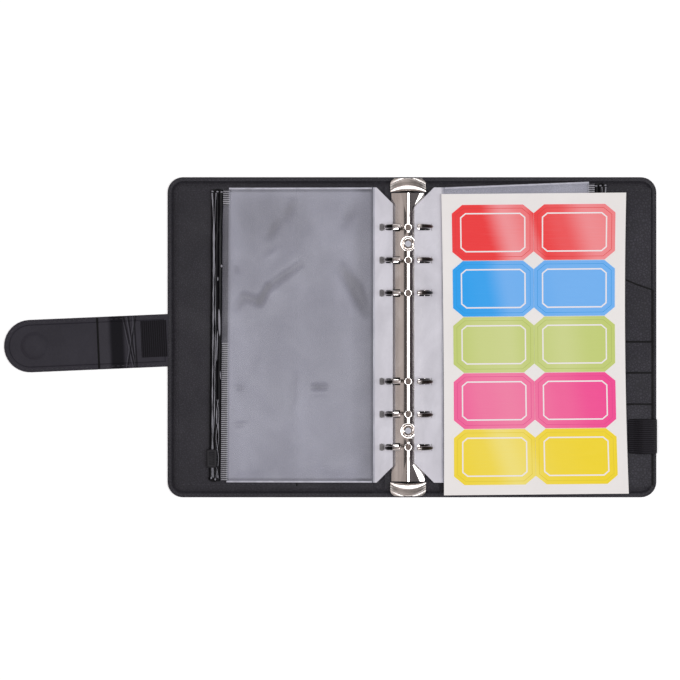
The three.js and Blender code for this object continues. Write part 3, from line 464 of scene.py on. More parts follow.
def place_piece(name, bm, finishes, body=None, stands_for=(), crease=35, move=None):
    if move is not None:
        bmesh.ops.transform(bm, matrix=move, verts=bm.verts[:])
    face_outward(bm)
    bmesh.ops.scale(bm, vec=(MM, MM, MM), verts=bm.verts[:])
    for face in bm.faces:
        face.smooth = True
    for edge in bm.edges:
        edge.smooth = edge.calc_face_angle(0.0) < math.radians(crease)
    mesh = bpy.data.meshes.new(name)
    bm.to_mesh(mesh)
    bm.free()
    for finish in finishes:
        mesh.materials.append(finish)
    piece = bpy.data.objects.new(name, mesh)
    scene.collection.objects.link(piece)
    if body:
        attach(piece, body)
    if stands_for:
        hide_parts(*stands_for)
    return piece


def flat_face(bm, points, z=0.0):
    face = bm.faces.new([bm.verts.new((x, y, z)) for x, y in points])
    face.normal_update()
    if face.normal.z < 0:
        face.normal_flip()
    return face


def box_corners(x0, x1, y0, y1):
    return [(x0, y0), (x1, y0), (x1, y1), (x0, y1)]


def close_holes(bm):
    loose = [edge for edge in bm.edges if edge.is_boundary]
    if loose:
        bmesh.ops.holes_fill(bm, edges=loose, sides=0)


def lift_face(bm, face, up):
    top = of_kind(bmesh.types.BMFace, bmesh.ops.extrude_face_region(bm, geom=[face])["geom"])[0]
    bmesh.ops.translate(bm, vec=(0, 0, up), verts=top.verts[:])
    close_holes(bm)
    return top


def step_in(bm, face, inward, up=0.0):
    return bmesh.ops.inset_region(bm, faces=[face], thickness=inward, depth=up, use_even_offset=True,
                                  use_boundary=True)["faces"]


def round_rims(bm, faces, offset, segments=3):
    edges = list({edge for face in faces for edge in face.edges})
    bmesh.ops.bevel(bm, geom=edges, offset=offset, offset_type="OFFSET", segments=segments, profile=0.5,
                    affect="EDGES", material=-1, clamp_overlap=True)


def round_corners(bm, corners, radius, segments):
    bmesh.ops.bevel(bm, geom=corners, offset=radius, offset_type="OFFSET", segments=segments, profile=0.5,
                    affect="VERTICES", material=-1)


def top_face(bm):
    return max(bm.faces, key=lambda face: (round(face.calc_center_median().z, 4), face.calc_area()))


def slice_at(bm, place, normal, drop=False):
    cut = bmesh.ops.bisect_plane(bm, geom=bm.verts[:] + bm.edges[:] + bm.faces[:], dist=1e-5,
                                 plane_co=place, plane_no=normal, clear_outer=drop)
    if drop:
        bmesh.ops.holes_fill(bm, edges=of_kind(bmesh.types.BMEdge, cut["geom_cut"]), sides=0)


def slice_x(bm, *places):
    for x in places:
        slice_at(bm, (x, 0, 0), (1, 0, 0))


def slice_y(bm, *places):
    for y in places:
        slice_at(bm, (0, y, 0), (0, 1, 0))


def rounded_slab(bm, points, z0, z1, rim, segments=2):
    top = lift_face(bm, flat_face(bm, points, z0), z1 - z0)
    if rim:
        round_rims(bm, [top], rim, segments)


def slab_piece(name, points, z0, z1, finish, body, stands_for=(), rim=0.12, move=None, loops=()):
    bm = bmesh.new()
    rounded_slab(bm, points, z0, z1, rim)
    slice_x(bm, *loops)
    return place_piece(name, bm, [finish], body, stands_for, move=move)


def sew(bm, path, z, pitch=2.4, length=1.6, thick=0.42):
    """A run of stitches along the points of path."""
    points = [Vector((*point, z)) for point in path]
    shape = Matrix.Diagonal((length / 2, thick / 2, thick / 2.4, 1)) @ Matrix.Rotation(math.pi / 2, 4, "Y")
    travelled = pitch / 2
    for start, end in zip(points, points[1:]):
        step = end - start
        span = step.length
        if span < 1e-6:
            continue
        turn = step.to_track_quat("X", "Z").to_matrix().to_4x4()
        while travelled <= span:
            spot = Matrix.Translation(start + step * (travelled / span))
            bmesh.ops.create_uvsphere(bm, u_segments=6, v_segments=4, radius=1, matrix=spot @ turn @ shape)
            travelled += pitch
        travelled -= span


def sewn_piece(name, runs, z, body, move=None, **sizes):
    bm = bmesh.new()
    for run in runs:
        sew(bm, run, z, **sizes)
    return place_piece(name, bm, [THREAD], body, crease=80, move=move)


def drawn_section(bm, section, y0, y1, steps, closed=True):
    """A section of (x, z) points, drawn along y."""
    verts = [bm.verts.new((x, y0, z)) for x, z in section]
    edges = [bm.edges.new(pair) for pair in zip(verts, verts[1:] + (verts[:1] if closed else []))]
    for _ in range(steps):
        made = bmesh.ops.extrude_edge_only(bm, edges=edges)["geom"]
        verts = of_kind(bmesh.types.BMVert, made)
        edges = [edge for edge in of_kind(bmesh.types.BMEdge, made) if all(v in verts for v in edge.verts)]
        bmesh.ops.translate(bm, vec=(0, (y1 - y0) / steps, 0), verts=verts)
    if closed:
        close_holes(bm)


def merge_into(bm, part):
    mesh = bpy.data.meshes.new("part")
    part.to_mesh(mesh)
    part.free()
    bm.from_mesh(mesh)
    bpy.data.meshes.remove(mesh)


def turned_piece(name, profile, places, finish, body, stands_for, steps):
    """A shape turned from (radius, height) points, at each of the places."""
    bm = bmesh.new()
    for place in places:
        part = bmesh.new()
        verts = [part.verts.new((radius, 0, height)) for radius, height in profile]
        edges = [part.edges.new(pair) for pair in zip(verts, verts[1:])]
        bmesh.ops.spin(part, geom=verts + edges, cent=(0, 0, 0), axis=(0, 0, 1), angle=2 * math.pi,
                       steps=steps, use_merge=True, use_duplicate=False)
        bmesh.ops.remove_doubles(part, verts=part.verts[:], dist=1e-4)
        bmesh.ops.transform(part, matrix=place, verts=part.verts[:])
        merge_into(bm, part)
    return place_piece(name, bm, [finish], body, stands_for)


def arc_points(x, y, radius, start, end, steps):
    angles = [math.radians(start + (end - start) * i / steps) for i in range(steps + 1)]
    return [(x + radius * math.cos(a), y + radius * math.sin(a)) for a in angles]


def noise_at(*place):
    return noise.noise(Vector(place))


def between(stops, place):
    """The value at a place along (place, value) stops."""
    for (start, low), (end, high) in zip(stops, stops[1:]):
        if place <= end:
            share = max(0.0, (place - start) / (end - start))
            return low + (high - low) * share
    return stops[-1][1]


# ---------------------------------------------------------------- cover
def edged_span(bm, thickness, rim, steps, start, end, loops):
    """Thickens the one face of bm, rounds its rims, steps its top inwards and keeps what lies from start to end."""
    lift_face(bm, bm.faces[:][0], thickness)
    face_outward(bm)
    round_rims(bm, [f for f in bm.faces if abs(f.normal.z) > 0.9], rim)
    top = top_face(bm)
    for inward, up in steps:
        step_in(bm, top, inward, up)
    slice_x(bm, *loops)
    if end is not None:
        slice_at(bm, (end, 0, 0), (1, 0, 0), True)
    if start is not None:
        slice_at(bm, (start, 0, 0), (-1, 0, 0), True)
    return bm


def cover_span(start, end, loops=()):
    """The cover from start to end: turned leather edge, sewn border, groove, and the lining over its board."""
    bm = bmesh.new()
    face = flat_face(bm, box_corners(-COVER_X, COVER_X, -COVER_Y, COVER_Y))
    round_corners(bm, list(face.verts), COVER_CORNER, 10)
    steps = ((1.8, 0), (0.3, -0.5), (0.5, 0.3), (0.35, 0.55), (1.2, 1.2), (1.4, 0.35))
    return edged_span(bm, BORDER_Z, 0.5, steps, start, end, loops)


for name, body, start, end in (("front", "front_cover", None, -PANEL_X), ("back", "back_cover", PANEL_X, None),
                               ("spine", "root", -SPINE_X, SPINE_X)):
    place_piece(f"{name}_panel", cover_span(start, end), [LEATHER], body,
                (f"{name}_skin", f"{name}_board", f"{name}_lining"))
for side, body in ((-1, "front_cover"), (1, "back_cover")):
    name = body.split("_")[0]
    low, high = sorted((side * SPINE_X, side * PANEL_X))
    strip = cover_span(low, high, [low + (high - low) * i / 10 for i in range(1, 10)])
    for vert in strip.verts:
        sink = 1 - ((vert.co.x - (low + high) / 2) / ((high - low) / 2)) ** 2
        if vert.co.z > BORDER_Z + 0.2:
            vert.co.z -= 0.9 * sink
    fold = place_piece(f"{name}_fold", strip, [LEATHER], None, (f"{name}_fold_leather",))
    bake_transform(fold)


def border_path(side):
    x, y, radius = COVER_X - SEAM_INSET, COVER_Y - SEAM_INSET, COVER_CORNER - SEAM_INSET
    head = arc_points(x - radius, y - radius, radius, 90, 0, 6)
    foot = arc_points(x - radius, radius - y, radius, 0, -90, 6)
    return [(side * px, py) for px, py in [(PANEL_X, y), *head, *foot, (PANEL_X, -y)]]


STITCH_Z = BORDER_Z + 0.02
sewn_piece("front_border_stitches", [border_path(-1)], STITCH_Z, "front_cover")
sewn_piece("back_border_stitches", [border_path(1)], STITCH_Z, "back_cover")
spine_runs = [[(-SPINE_X, y), (SPINE_X, y)] for y in (COVER_Y - SEAM_INSET, SEAM_INSET - COVER_Y)]
sewn_piece("spine_border_stitches", spine_runs, STITCH_Z, "root")


# ---------------------------------------------------------------- pockets and pen loop
def pocket_piece(name, points, z0, body, node, edge, seams):
    """A lining panel with a near-black strip of painted shadow along its mouth, and its rows of stitches."""
    finish = LINING if body == "front_cover" else POCKET_LINING
    slab_piece(name, points, z0, z0 + 0.45, finish, body, (node,), 0.15)
    # A near-black strip of painted shadow along the mouth.
    slab_piece(f"{name}_mouth_shadow_strip", edge, z0 + 0.05, z0 + 0.55, POCKET_SHADOW, body, (), 0.15)
    sewn_piece(f"{name}_stitches", seams, z0 + 0.46, body, pitch=2.9, length=2.0, thick=0.4)


pocket_piece("front_pocket", box_corners(-135.5, -66.5, -POCKET_Y, POCKET_Y), 3.6, "front_cover", "front_slip_pocket",
             box_corners(-67.3, -66.4, -86.4, 86.4),
             [[(-68.6, -85.0), (-68.6, 85.0)], [(-134.0, 85.2), (-68.6, 85.2)], [(-134.0, -85.2), (-68.6, -85.2)]])
pocket_piece("back_pocket", box_corners(60.3, POCKET_X, -POCKET_Y, POCKET_Y), 3.6, "back_cover", "back_slip_pocket",
             box_corners(60.2, 61.1, -86.4, 86.4), [[(62.4, -85.0), (62.4, 85.0)], [(62.4, 85.2), (134.0, 85.2)]])
MEMO_MOUTH = [(POCKET_X, 28.2), (130.2, 31.1), (122.0, 34.6), (110.9, 39.4), (98.0, 44.3), (84.9, 48.4), (73.2, 51.1),
              (POCKET_INNER, 52.0)]
pocket_piece("memo_flap", [(POCKET_INNER, -POCKET_Y), (POCKET_X, -POCKET_Y), *MEMO_MOUTH], 4.15, "back_cover",
             "memo_pocket", [*MEMO_MOUTH, *[(x, y - 1.1) for x, y in reversed(MEMO_MOUTH)]],
             [[(x, y - 2.4) for x, y in MEMO_MOUTH], [(136.2, 25.4), (136.2, -85.5)]])
for index, (head, foot) in enumerate(((-2.2, -20.0), (-20.2, -38.2), (-38.4, -POCKET_Y)), 1):
    pocket_piece(f"card_pocket_{index}", box_corners(POCKET_INNER, POCKET_X, foot, head), 4.7, "back_cover",
                 f"card_slot_{index}", box_corners(POCKET_INNER, POCKET_X, head - 1.0, head + 0.05),
                 [[(61.5, head - 2.3), (136.0, head - 2.3)], [(136.2, head - 2.6), (136.2, foot + 0.6)]])
# A near-black strip of painted shadow beside the pockets' outer side.
slab_piece("pocket_side_shadow", box_corners(138.1, 140.2, -86.0, 27.5), 1.5, 4.2, POCKET_SHADOW, "back_cover", (),
           0.5)


def pen_loop():
    """A band of ribbed elastic that arches from the card pockets to the sewn edge."""
    line = [(125.0, 5.7), (127.4, 5.95), (130.0, 8.6), (132.0, 11.0), (134.1, 12.0), (136.6, 11.7), (139.2, 10.4),
            (141.2, 8.2), (142.0, 5.8), (141.9, 3.6), (141.2, 2.55), (139.9, 2.3)]
    bm = bmesh.new()
    drawn_section(bm, line, -67.5, -47.3, 12, closed=False)
    face_outward(bm)
    thicken(bm, 0.9)
    piece = place_piece("pen_loop_band", bm, [LOOP_ELASTIC], "back_cover", ("pen_loop",), 60)
    smooth = piece.modifiers.new("soft", "SUBSURF")
    smooth.levels = smooth.render_levels = 1


pen_loop()


# ---------------------------------------------------------------- strap
STRAP_TIP_CENTRE = STRAP_LENGTH - STRAP_HALF
STRAP_PLACE = (Matrix.Translation((*STRAP_ROOT, 0)) @ Matrix.Rotation(STRAP_TILT, 4, "Z")
               @ Matrix.Diagonal((-1, 1, 1, 1)))
STITCH_ROWS = STRAP_HALF - 1.6
BEND_LOOPS = [0.8 + 0.5 * i for i in range(8)]
TIP_LOOPS = [40.6 + 0.6 * i for i in range(10)]


def strap_outline(start, half, steps):
    return [(start, -half), *arc_points(STRAP_TIP_CENTRE, 0, half, -90, 90, steps), (start, half)]


def strap_span(start, end, loops):
    """Along the strap x runs from the cover to the tip, with a sewn border and groove all round."""
    bm = bmesh.new()
    flat_face(bm, strap_outline(-1.2, STRAP_HALF, 20))
    return edged_span(bm, 1.5, 0.4, ((2.3, 0), (0.3, -0.25), (0.4, 0.35), (1.5, 0.1)), start, end, loops)


root = place_piece("strap_root_band", strap_span(None, STRAP_JOIN, BEND_LOOPS), [STRAP_LEATHER], None,
                   ("strap_root", "strap_bridge"), move=STRAP_PLACE)
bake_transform(root)
tip = place_piece("strap_tip_band", strap_span(STRAP_JOIN, None, TIP_LOOPS), [STRAP_LEATHER], None,
                  ("strap_tip_outer", "strap_tip_lining"), move=STRAP_PLACE)
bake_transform(tip)
MAGNET_PLACE = Matrix.Translation((-219.23, -5.05, 0))
MAGNET_SWELL = [(0, 2.78), (4.6, 2.74), (5.9, 2.55), (6.9, 2.2), (7.8, 1.8), (8.7, 1.55), (8.7, 1.3), (0, 1.3)]
turned_piece("magnet_swell", MAGNET_SWELL, [MAGNET_PLACE], STRAP_LEATHER, "strap_tip", ("strap_magnet",), 40)
base_runs = [[(4.6, y), (40.0, y)] for y in (-STITCH_ROWS, STITCH_ROWS)]
for body, runs in (("strap_base", base_runs), ("strap_tip", [strap_outline(46.0, STITCH_ROWS, 16)])):
    sewn_piece(f"{body}_stitches", runs, 1.52, body, STRAP_PLACE, pitch=2.9, length=2.0, thick=0.38)
slab_piece("strap_cross_seam", box_corners(39.7, 40.9, -14.8, 14.8), 1.4, 1.8, SEAM_AND_SHADE_BLACK, "strap_base", (),
           0.15, STRAP_PLACE)
patch = slab_piece("strap_patch", box_corners(0.4, 15.2, -9.4, 11.8), 1.6, 2.2, PATCH_ELASTIC, None,
                   ("strap_elastic",), 0.15, STRAP_PLACE, BEND_LOOPS)
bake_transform(patch)


# ---------------------------------------------------------------- ring mechanism
def rail_cover():
    """Pressed sheet: side walls, straight flanks with the ring slots cut out, and a narrow ridge."""
    half = [(9.75, 3.7), (9.75, 5.9), (9.66, 6.16), (9.4, 6.3), (7.4, 6.82), (5.4, 7.34), (3.4, 7.87), (2.5, 8.14),
            (2.0, 8.5), (1.6, 8.9), (1.15, 9.22), (0.74, 9.44), (0.44, 9.56), (0.2, 9.6)]
    wall, dish_top, dish_half = 5.5, 8.4, 4.0
    bm = bmesh.new()
    drawn_section(bm, half + [(-x, z) for x, z in reversed(half)], -RAIL_END, RAIL_END, 84, closed=False)
    slice_y(bm, *[y + side * SLOT_HALF for y in RING_Y for side in (-1, 1)])
    slice_y(bm, *[y + side * dish_half for y in RIVET_Y for side in (-1, 1)])
    slice_x(bm, -SLOT_INNER, SLOT_INNER)
    slice_at(bm, (0, 0, wall), (0, 0, 1))
    slots = []
    for face in bm.faces:
        middle = face.calc_center_median()
        if abs(middle.x) > SLOT_INNER and middle.z > wall and on_ring_row(face, SLOT_HALF):
            slots.append(face)
    bmesh.ops.delete(bm, geom=slots, context="FACES")
    for vert in bm.verts:
        if any(abs(vert.co.y - y) < dish_half + 0.05 for y in RIVET_Y):
            vert.co.z = min(vert.co.z, dish_top)
    face_outward(bm)
    if sum(f.normal.z * f.calc_area() for f in bm.faces) < 0:
        bmesh.ops.reverse_faces(bm, faces=bm.faces[:])
    thicken(bm, 0.6)
    place_piece("rail_cover", bm, [CHROME], "root", ("ring_rail",), 38, MECHANISM_PLACE)


def ridge_wings():
    """At both ends of the rail the ridge flares into a small wing on each side."""
    bm = bmesh.new()
    for side, reach, height in ((-1, 4.3, 7.75), (1, 6.8, 7.12)):
        for end in (-1, 1):
            corners = [(0.3, RAIL_END, 9.58), (reach, RAIL_END, height), (0.5, 69.0, 9.54)]
            lift_face(bm, bm.faces.new([bm.verts.new((side * x, end * y, z)) for x, y, z in corners]), -0.6)
    # The right-hand wings take the dark chrome as painted shade and dark reflection.
    for face in bm.faces:
        face.material_index = 1 if face.calc_center_median().x > 0 else 0
    place_piece("ridge_wings", bm, [CHROME, SHADED_CHROME], "root", (), 20, MECHANISM_PLACE)


def ring_slots():
    """A near-black floor under each slot as painted shade, and above it the bright root of the ring."""
    floors = bmesh.new()
    floor_half, root_half = SLOT_HALF + 0.1, 1.5
    for side, name, inner, outer in ((-1, "left", 5.4, 9.2), (1, "right", 5.0, 6.8)):
        roots = bmesh.new()
        for y in RING_Y:
            floor = box_corners(*sorted((side * 4.5, side * 9.6)), y - floor_half, y + floor_half)
            rounded_slab(floors, floor, 5.2, 5.74, 0)
            root = box_corners(*sorted((side * inner, side * outer)), y - root_half, y + root_half)
            rounded_slab(roots, root, 6.6, 7.7, 0.35, 3)
        place_piece(f"{name}_ring_roots", roots, [CHROME], f"{name}_rings", (), 30, MECHANISM_PLACE)
    place_piece("slot_shade_floors", floors, [SEAM_AND_SHADE_BLACK], "root", (), move=MECHANISM_PLACE)


rail_cover()
ridge_wings()
ring_slots()
for name, rows, finish, stands_for, steps, profile in (
    ("rail_dimples", RING_Y, CHROME, (), 28,
     [(1.4, 9.5), (1.5, 9.72), (1.6, 9.86), (1.72, 9.93), (1.98, 9.93), (2.1, 9.84), (2.2, 9.6), (2.3, 8.2), (1.4, 8.2),
      (1.4, 9.5)]),
    # The bowls are painted dark as shade and dark reflection.
    ("dimple_bowls", RING_Y, DIMPLE_SHADE, (), 24,
     [(0, 9.74), (0.4, 9.72), (0.7, 9.66), (1.1, 9.7), (1.45, 9.8), (1.45, 9.1), (0, 9.1)]),
    ("dish_walls", RIVET_Y, CHROME, (), 36,
     [(3.15, 7.0), (3.15, 8.66), (3.4, 8.9), (3.65, 9.18), (3.9, 9.28), (4.25, 9.28), (4.4, 9.1), (4.4, 7.0),
      (3.15, 7.0)]),
    ("rivet_heads", RIVET_Y, CHROME, ("rail_rivet_top", "rail_rivet_bottom"), 36,
     [(1.7, 8.9), (1.72, 9.2), (1.95, 9.46), (2.4, 9.6), (2.8, 9.42), (3.02, 9.05), (3.05, 8.7), (1.6, 8.7), (1.6, 1.2),
      (3.7, 1.2), (3.7, 1.0), (0, 1.0), (0, 8.9)]),
    ("rivet_centres", RIVET_Y, RIVET_CENTRE, (), 28,
     [(0, 9.3), (0.5, 9.28), (0.8, 9.18), (1.2, 9.2), (1.74, 9.12), (1.74, 8.95), (0, 8.95)]),
):
    places = [Matrix.Translation((MECHANISM_X, y, 0)) for y in rows]
    turned_piece(name, profile, places, finish, "root", stands_for, steps)


def ring_wires(side, name):
    """Six half rings of round wire, swung open about the hinge of their blade."""
    hinge = (Matrix.Translation((MECHANISM_X, 0, MECHANISM_Z)) @ Matrix.Diagonal((side, 1, 1, 1))
             @ Matrix.Translation((RING_HINGE_X, 0, 1.1)) @ Matrix.Rotation(math.radians(RINGS_OPEN), 4, "Y"))
    start, end = -60.0, 89.2
    bm = bmesh.new()
    for y in RING_Y:
        part = bmesh.new()
        centre = (-RING_HINGE_X, y, 9.5)
        place = (Matrix.Translation(centre) @ Matrix.Rotation(math.radians(-start), 4, "Y")
                 @ Matrix.Translation((RING_RADIUS, 0, 0)))
        circle = bmesh.ops.create_circle(part, segments=16, radius=WIRE_RADIUS, matrix=place)
        bmesh.ops.spin(part, geom=circle["verts"] + part.edges[:], cent=centre, axis=(0, -1, 0),
                       angle=math.radians(end - start), steps=26)
        close_holes(part)
        round_rims(part, [f for f in part.faces if len(f.verts) > 8], 0.4)
        bmesh.ops.transform(part, matrix=hinge, verts=part.verts[:])
        merge_into(bm, part)
    face_outward(bm)
    bm.normal_update()
    # The attribute marks where the wire faces up; there the ring steel paints its light and shade.
    top_painted_light = bm.verts.layers.float.new("top_painted_light")
    for vert in bm.verts:
        vert[top_painted_light] = min(1.0, max(0.0, (vert.normal.z - 0.05) / 0.3))
    nodes = [f"{name}_ring_{i}" for i in range(1, 7)]
    place_piece(f"{name}_ring_wires", bm, [RING_STEEL], f"{name}_rings", nodes, 60)


for side, name in SIDES:
    ring_wires(side, name)


LEVER_RISE = ((0, 8.7), (0.05, 9.15), (0.12, 9.46), (0.2, 9.6), (0.3, 9.66), (0.42, 9.62), (0.5, 9.5), (0.56, 9.3),
              (0.66, 8.85), (0.73, 8.62), (0.8, 8.46), (0.9, 8.26), (0.96, 8.05), (1.0, 7.5))


def lever(name, turn):
    """A pressed lip across the rail's end: crest, hollow and turned edge, with a tongue below that works the blades."""
    bm = bmesh.new()
    bmesh.ops.create_grid(bm, x_segments=36, y_segments=24, size=0.5)
    half_width, inner, depth = 10.25, 84.5, 7.4
    for vert in bm.verts:
        across, out = vert.co.x * 2, vert.co.y + 0.5
        half = half_width * (1 - 0.26 * max(0.0, (out - 0.4) / 0.6) ** 4)
        spread = 0.3 + (out - 0.3 + 0.24 * across ** 2) * (1 + 0.75 * across ** 2)
        height = between(LEVER_RISE, min(1.0, spread)) - 0.35 * across ** 2 - 0.5 * across ** 6
        vert.co = (across * half, inner + depth * out - 0.6 * across ** 2 * (1 - out), height)
    thicken(bm, 0.9)
    # The tongue below is painted near-black as shade under the lip.
    lip = len(bm.faces)
    rounded_slab(bm, box_corners(-3.5, 3.5, 79.5, 85.6), 6.2, 7.4, 0.2)
    bm.faces.ensure_lookup_table()
    for face in bm.faces[lip:]:
        face.material_index = 1
    place_piece(f"{name}_lip", bm, [LEVER_CHROME, SEAM_AND_SHADE_BLACK], name, (name,), 50,
                MECHANISM_PLACE @ Matrix.Rotation(turn, 4, "Z"))


lever("top_lever", 0)
lever("bottom_lever", math.pi)


# ---------------------------------------------------------------- zip envelopes
def page_place(side):
    near, centre = 9.8, 11.8
    tilt = math.atan((near - PAGE_FAR_Z[side]) / (ZIP_U - centre))
    height = near + centre * math.sin(tilt)
    return (Matrix.Translation((MECHANISM_X, 0, height)) @ Matrix.Diagonal((side, 1, 1, 1))
            @ Matrix.Rotation(tilt, 4, "Y"))


def fold_height(x, y, folds):
    """How far the folds (x0, y0, x1, y1, rise, width) lift the film at a place."""
    total = 0.0
    for x0, y0, x1, y1, rise, width in folds:
        start, step = Vector((x0, y0)), Vector((x1 - x0, y1 - y0))
        along = max(0.0, min(1.0, (Vector((x, y)) - start).dot(step) / step.length_squared))
        gap = (Vector((x, y)) - start - step * along).length
        total += rise * math.exp(-(gap / width) ** 2) * (0.35 + 0.65 * math.sin(math.pi * (0.1 + 0.8 * along)))
    return total


def settle(bm, side):
    """The right page lies a little askew, and the left one leans out towards its foot."""
    askew, lean = 3.37, 0.0085
    for vert in bm.verts:
        reach = min(1.0, max(0.0, (vert.co.x - FILM_INNER) / (FILM_U - FILM_INNER)))
        if side > 0:
            vert.co.y += askew * reach
        else:
            vert.co.x -= lean * vert.co.y * reach
    return page_place(side)


def film(name, side, body, node, finish, w, sway, folds, seed):
    bm = bmesh.new()
    width, length = FILM_U - FILM_INNER, PAGE_HEAD - PAGE_FOOT
    middle = Matrix.Translation((FILM_INNER + width / 2, (PAGE_HEAD + PAGE_FOOT) / 2, w))
    bmesh.ops.create_grid(bm, x_segments=84, y_segments=168, size=0.5,
                          matrix=middle @ Matrix.Diagonal((width, length, 1, 1)))
    crease = bm.verts.layers.float.new("crease")
    for vert in bm.verts:
        x, y = vert.co.x, vert.co.y
        inward, end = x - FILM_INNER, min(y - PAGE_FOOT, PAGE_HEAD - y)
        hold = min(1.0, max(0.0, min(inward, FILM_U - x, end) / 7.0))
        drift = noise_at(x * 0.035, y * 0.022, seed) + 0.5 * noise_at(x * 0.09, y * 0.06, seed + 5)
        fold = fold_height(x, y, folds)
        vert.co.z += hold * (sway * drift + fold)
        # Painted light: shade along folds, near the weld and the zip, in the groove at head and foot and at one upper
        # corner, and highlight on raised folds; the crease attribute carries it to the finish.
        near_weld = 0.54 * max(0.0, 1 - inward / 13.0) + 0.4 * max(0.0, 1 - inward / 1.6)
        near_zip = 0.5 * max(0.0, 1 - (FILM_U - x) / 1.6)
        groove = 0.45 if 1.0 < end < 2.1 else 0.0
        painted_corner_shade = 0.1 * math.exp(-((x - 86) / 22) ** 2 - ((y - 72) / 16) ** 2)
        shade = -0.84 * fold * hold + near_weld + near_zip + groove + painted_corner_shade
        vert[crease] = max(-0.12, min(0.75, shade if side < 0 else 0.25 * shade))
    thicken(bm, 0.1)
    piece = place_piece(name, bm, [finish], body, (node,), 70, settle(bm, side))


def punched_margin(side, name, inner, cut, hole, shade, clear):
    """A milky strip with cut corners and six slots; where shade is given, each slot has a grey film of painted shade
    past its end. What lies over the rail is clear.
    """
    bm = bmesh.new()
    outer, half, rim = MARGIN_U, 1.75, 0.5
    face = flat_face(bm, box_corners(inner, outer, PAGE_FOOT, PAGE_HEAD))
    round_corners(bm, [v for v in face.verts if v.co.x < inner + 0.1], cut, 1)
    for y in RING_Y:
        slice_y(bm, y - half - rim, y + half + rim)
    slice_x(bm, hole[0] - rim, hole[1] + rim)
    if shade:
        slice_x(bm, shade)
    rows = [(f, f.calc_center_median().x) for f in bm.faces if on_ring_row(f)]
    slots = [f for f, x in rows if hole[0] < x < hole[1]]
    ends = [f for f, x in rows if shade and hole[1] + rim < x < shade]
    for cells, inset, radius in ((slots, rim, 1.65), (ends, 0.15, 0.9)):
        for cell in cells:
            step_in(bm, cell, inset)
            round_corners(bm, list(cell.verts), radius, 6)
    rounded = [f for f in bm.faces if len(f.verts) > 12 and f.calc_area() < 40 and on_ring_row(f)]
    slice_x(bm, clear)
    for face in bm.faces:
        face.material_index = 1 if face.calc_center_median().x < clear else 0
    for face in rounded:
        if face.is_valid and face.calc_center_median().x > hole[1]:
            face.material_index = 2
    openings = [f for f in bm.faces if len(f.verts) > 5 and hole[0] < f.calc_center_median().x < hole[1]
                and f.calc_area() < 40 and on_ring_row(f)]
    bmesh.ops.delete(bm, geom=openings, context="FACES")
    thicken(bm, 0.3)
    piece = place_piece(f"{name}_margin_strip", bm, [MARGIN_FILM, CLEAR_FILM, SHADED_FILM], f"{name}_margin",
                        (f"{name}_punched_margin",), move=page_place(side))


def pouch_piece(piece_name, bm, finishes, side, name, stands_for=(), crease=35):
    place_piece(piece_name, bm, finishes, f"{name}_pouch", stands_for, crease, settle(bm, side))


def welded_edges(side, name):
    """The seam that hinges the pouch on its margin, and the welded head and foot."""
    place = page_place(side)
    seam = slab_piece(f"{name}_weld_seam", box_corners(19.35, 20.35, PAGE_FOOT, PAGE_HEAD), 0.1, 0.58, WELD_FILM, None,
                      (), 0.2, place, (19.6, 19.7, 19.8, 19.9, 20.0, 20.1))
    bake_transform(seam)
    bm = bmesh.new()
    for y0, y1 in ((PAGE_HEAD - 1.0, PAGE_HEAD), (PAGE_FOOT, PAGE_FOOT + 1.0)):
        rounded_slab(bm, box_corners(21.0, 104.4, y0, y1), 0.1, 0.66, 0.2)
    pouch_piece(f"{name}_weld_lines", bm, [WELD_FILM], side, name)


LADDER_PLAIN, RUNG_PITCH, RUNG_WIDTH = (-3.8, 76.4), 1.1572, 0.58


def ladder(side, name):
    """The ribbed band between the film and the zip: its rungs stand out at the head and the lower half."""
    bm = bmesh.new()
    rounded_slab(bm, box_corners(103.4, 108.1, -83.0, 85.5), -0.35, 0.3, 0.15)
    slice_y(bm, *LADDER_PLAIN)
    for face in bm.faces:
        face.material_index = 0 if LADDER_PLAIN[0] < face.calc_center_median().y < LADDER_PLAIN[1] else 1
    pouch_piece(f"{name}_ladder_band", bm, [LADDER_FILM, LADDER_GAP], side, name)
    bm = bmesh.new()
    y = -82.6
    while y < 84.6:
        made = len(bm.faces)
        rounded_slab(bm, box_corners(103.9, 107.7, y, y + RUNG_WIDTH), 0.2, 0.55, 0)
        bm.faces.ensure_lookup_table()
        for face in bm.faces[made:]:
            face.material_index = 1 if LADDER_PLAIN[0] < y < LADDER_PLAIN[1] else 0
        y += RUNG_PITCH
    pouch_piece(f"{name}_ladder_rungs", bm, [RUNG_FILM, FAINT_RUNG], side, name)


# Where the painted highlight lines run: (place along, place across) stops for each line.
ZIP_LINES = (
    ((-82, 112.7), (-44, 112.93), (4, 112.83), (27, 112.93), (65, 113.05), (84, 114.1)),
    ((-82, 111.9), (-60, 112.4), (-44, 111.73), (4, 111.53), (27, 111.83), (45, 112.4), (65, 112.65), (84, 111.8)),
)
# Painted highlights on the zip, as pale blobs: place across and along the page, half width and half length.
ZIP_BLOBS = (
    (113.9, 84.4, 0.75, 0.4), (111.0, 84.2, 0.75, 0.4), (108.6, 84.0, 0.75, 0.4), (113.2, -81.4, 0.5, 0.7),
    (110.9, -82.2, 0.5, 0.7), (109.4, -80.6, 0.4, 0.9), (108.3, 41.2, 0.6, 0.8), (110.4, 33.7, 0.35, 1.2),
    (109.3, 8.5, 0.7, 8.0), (110.5, -5.0, 0.4, 9.0), (108.4, -22.0, 0.3, 2.5), (110.3, -46.0, 0.3, 4.5),
    (109.4, -52.0, 0.3, 4.0),
)


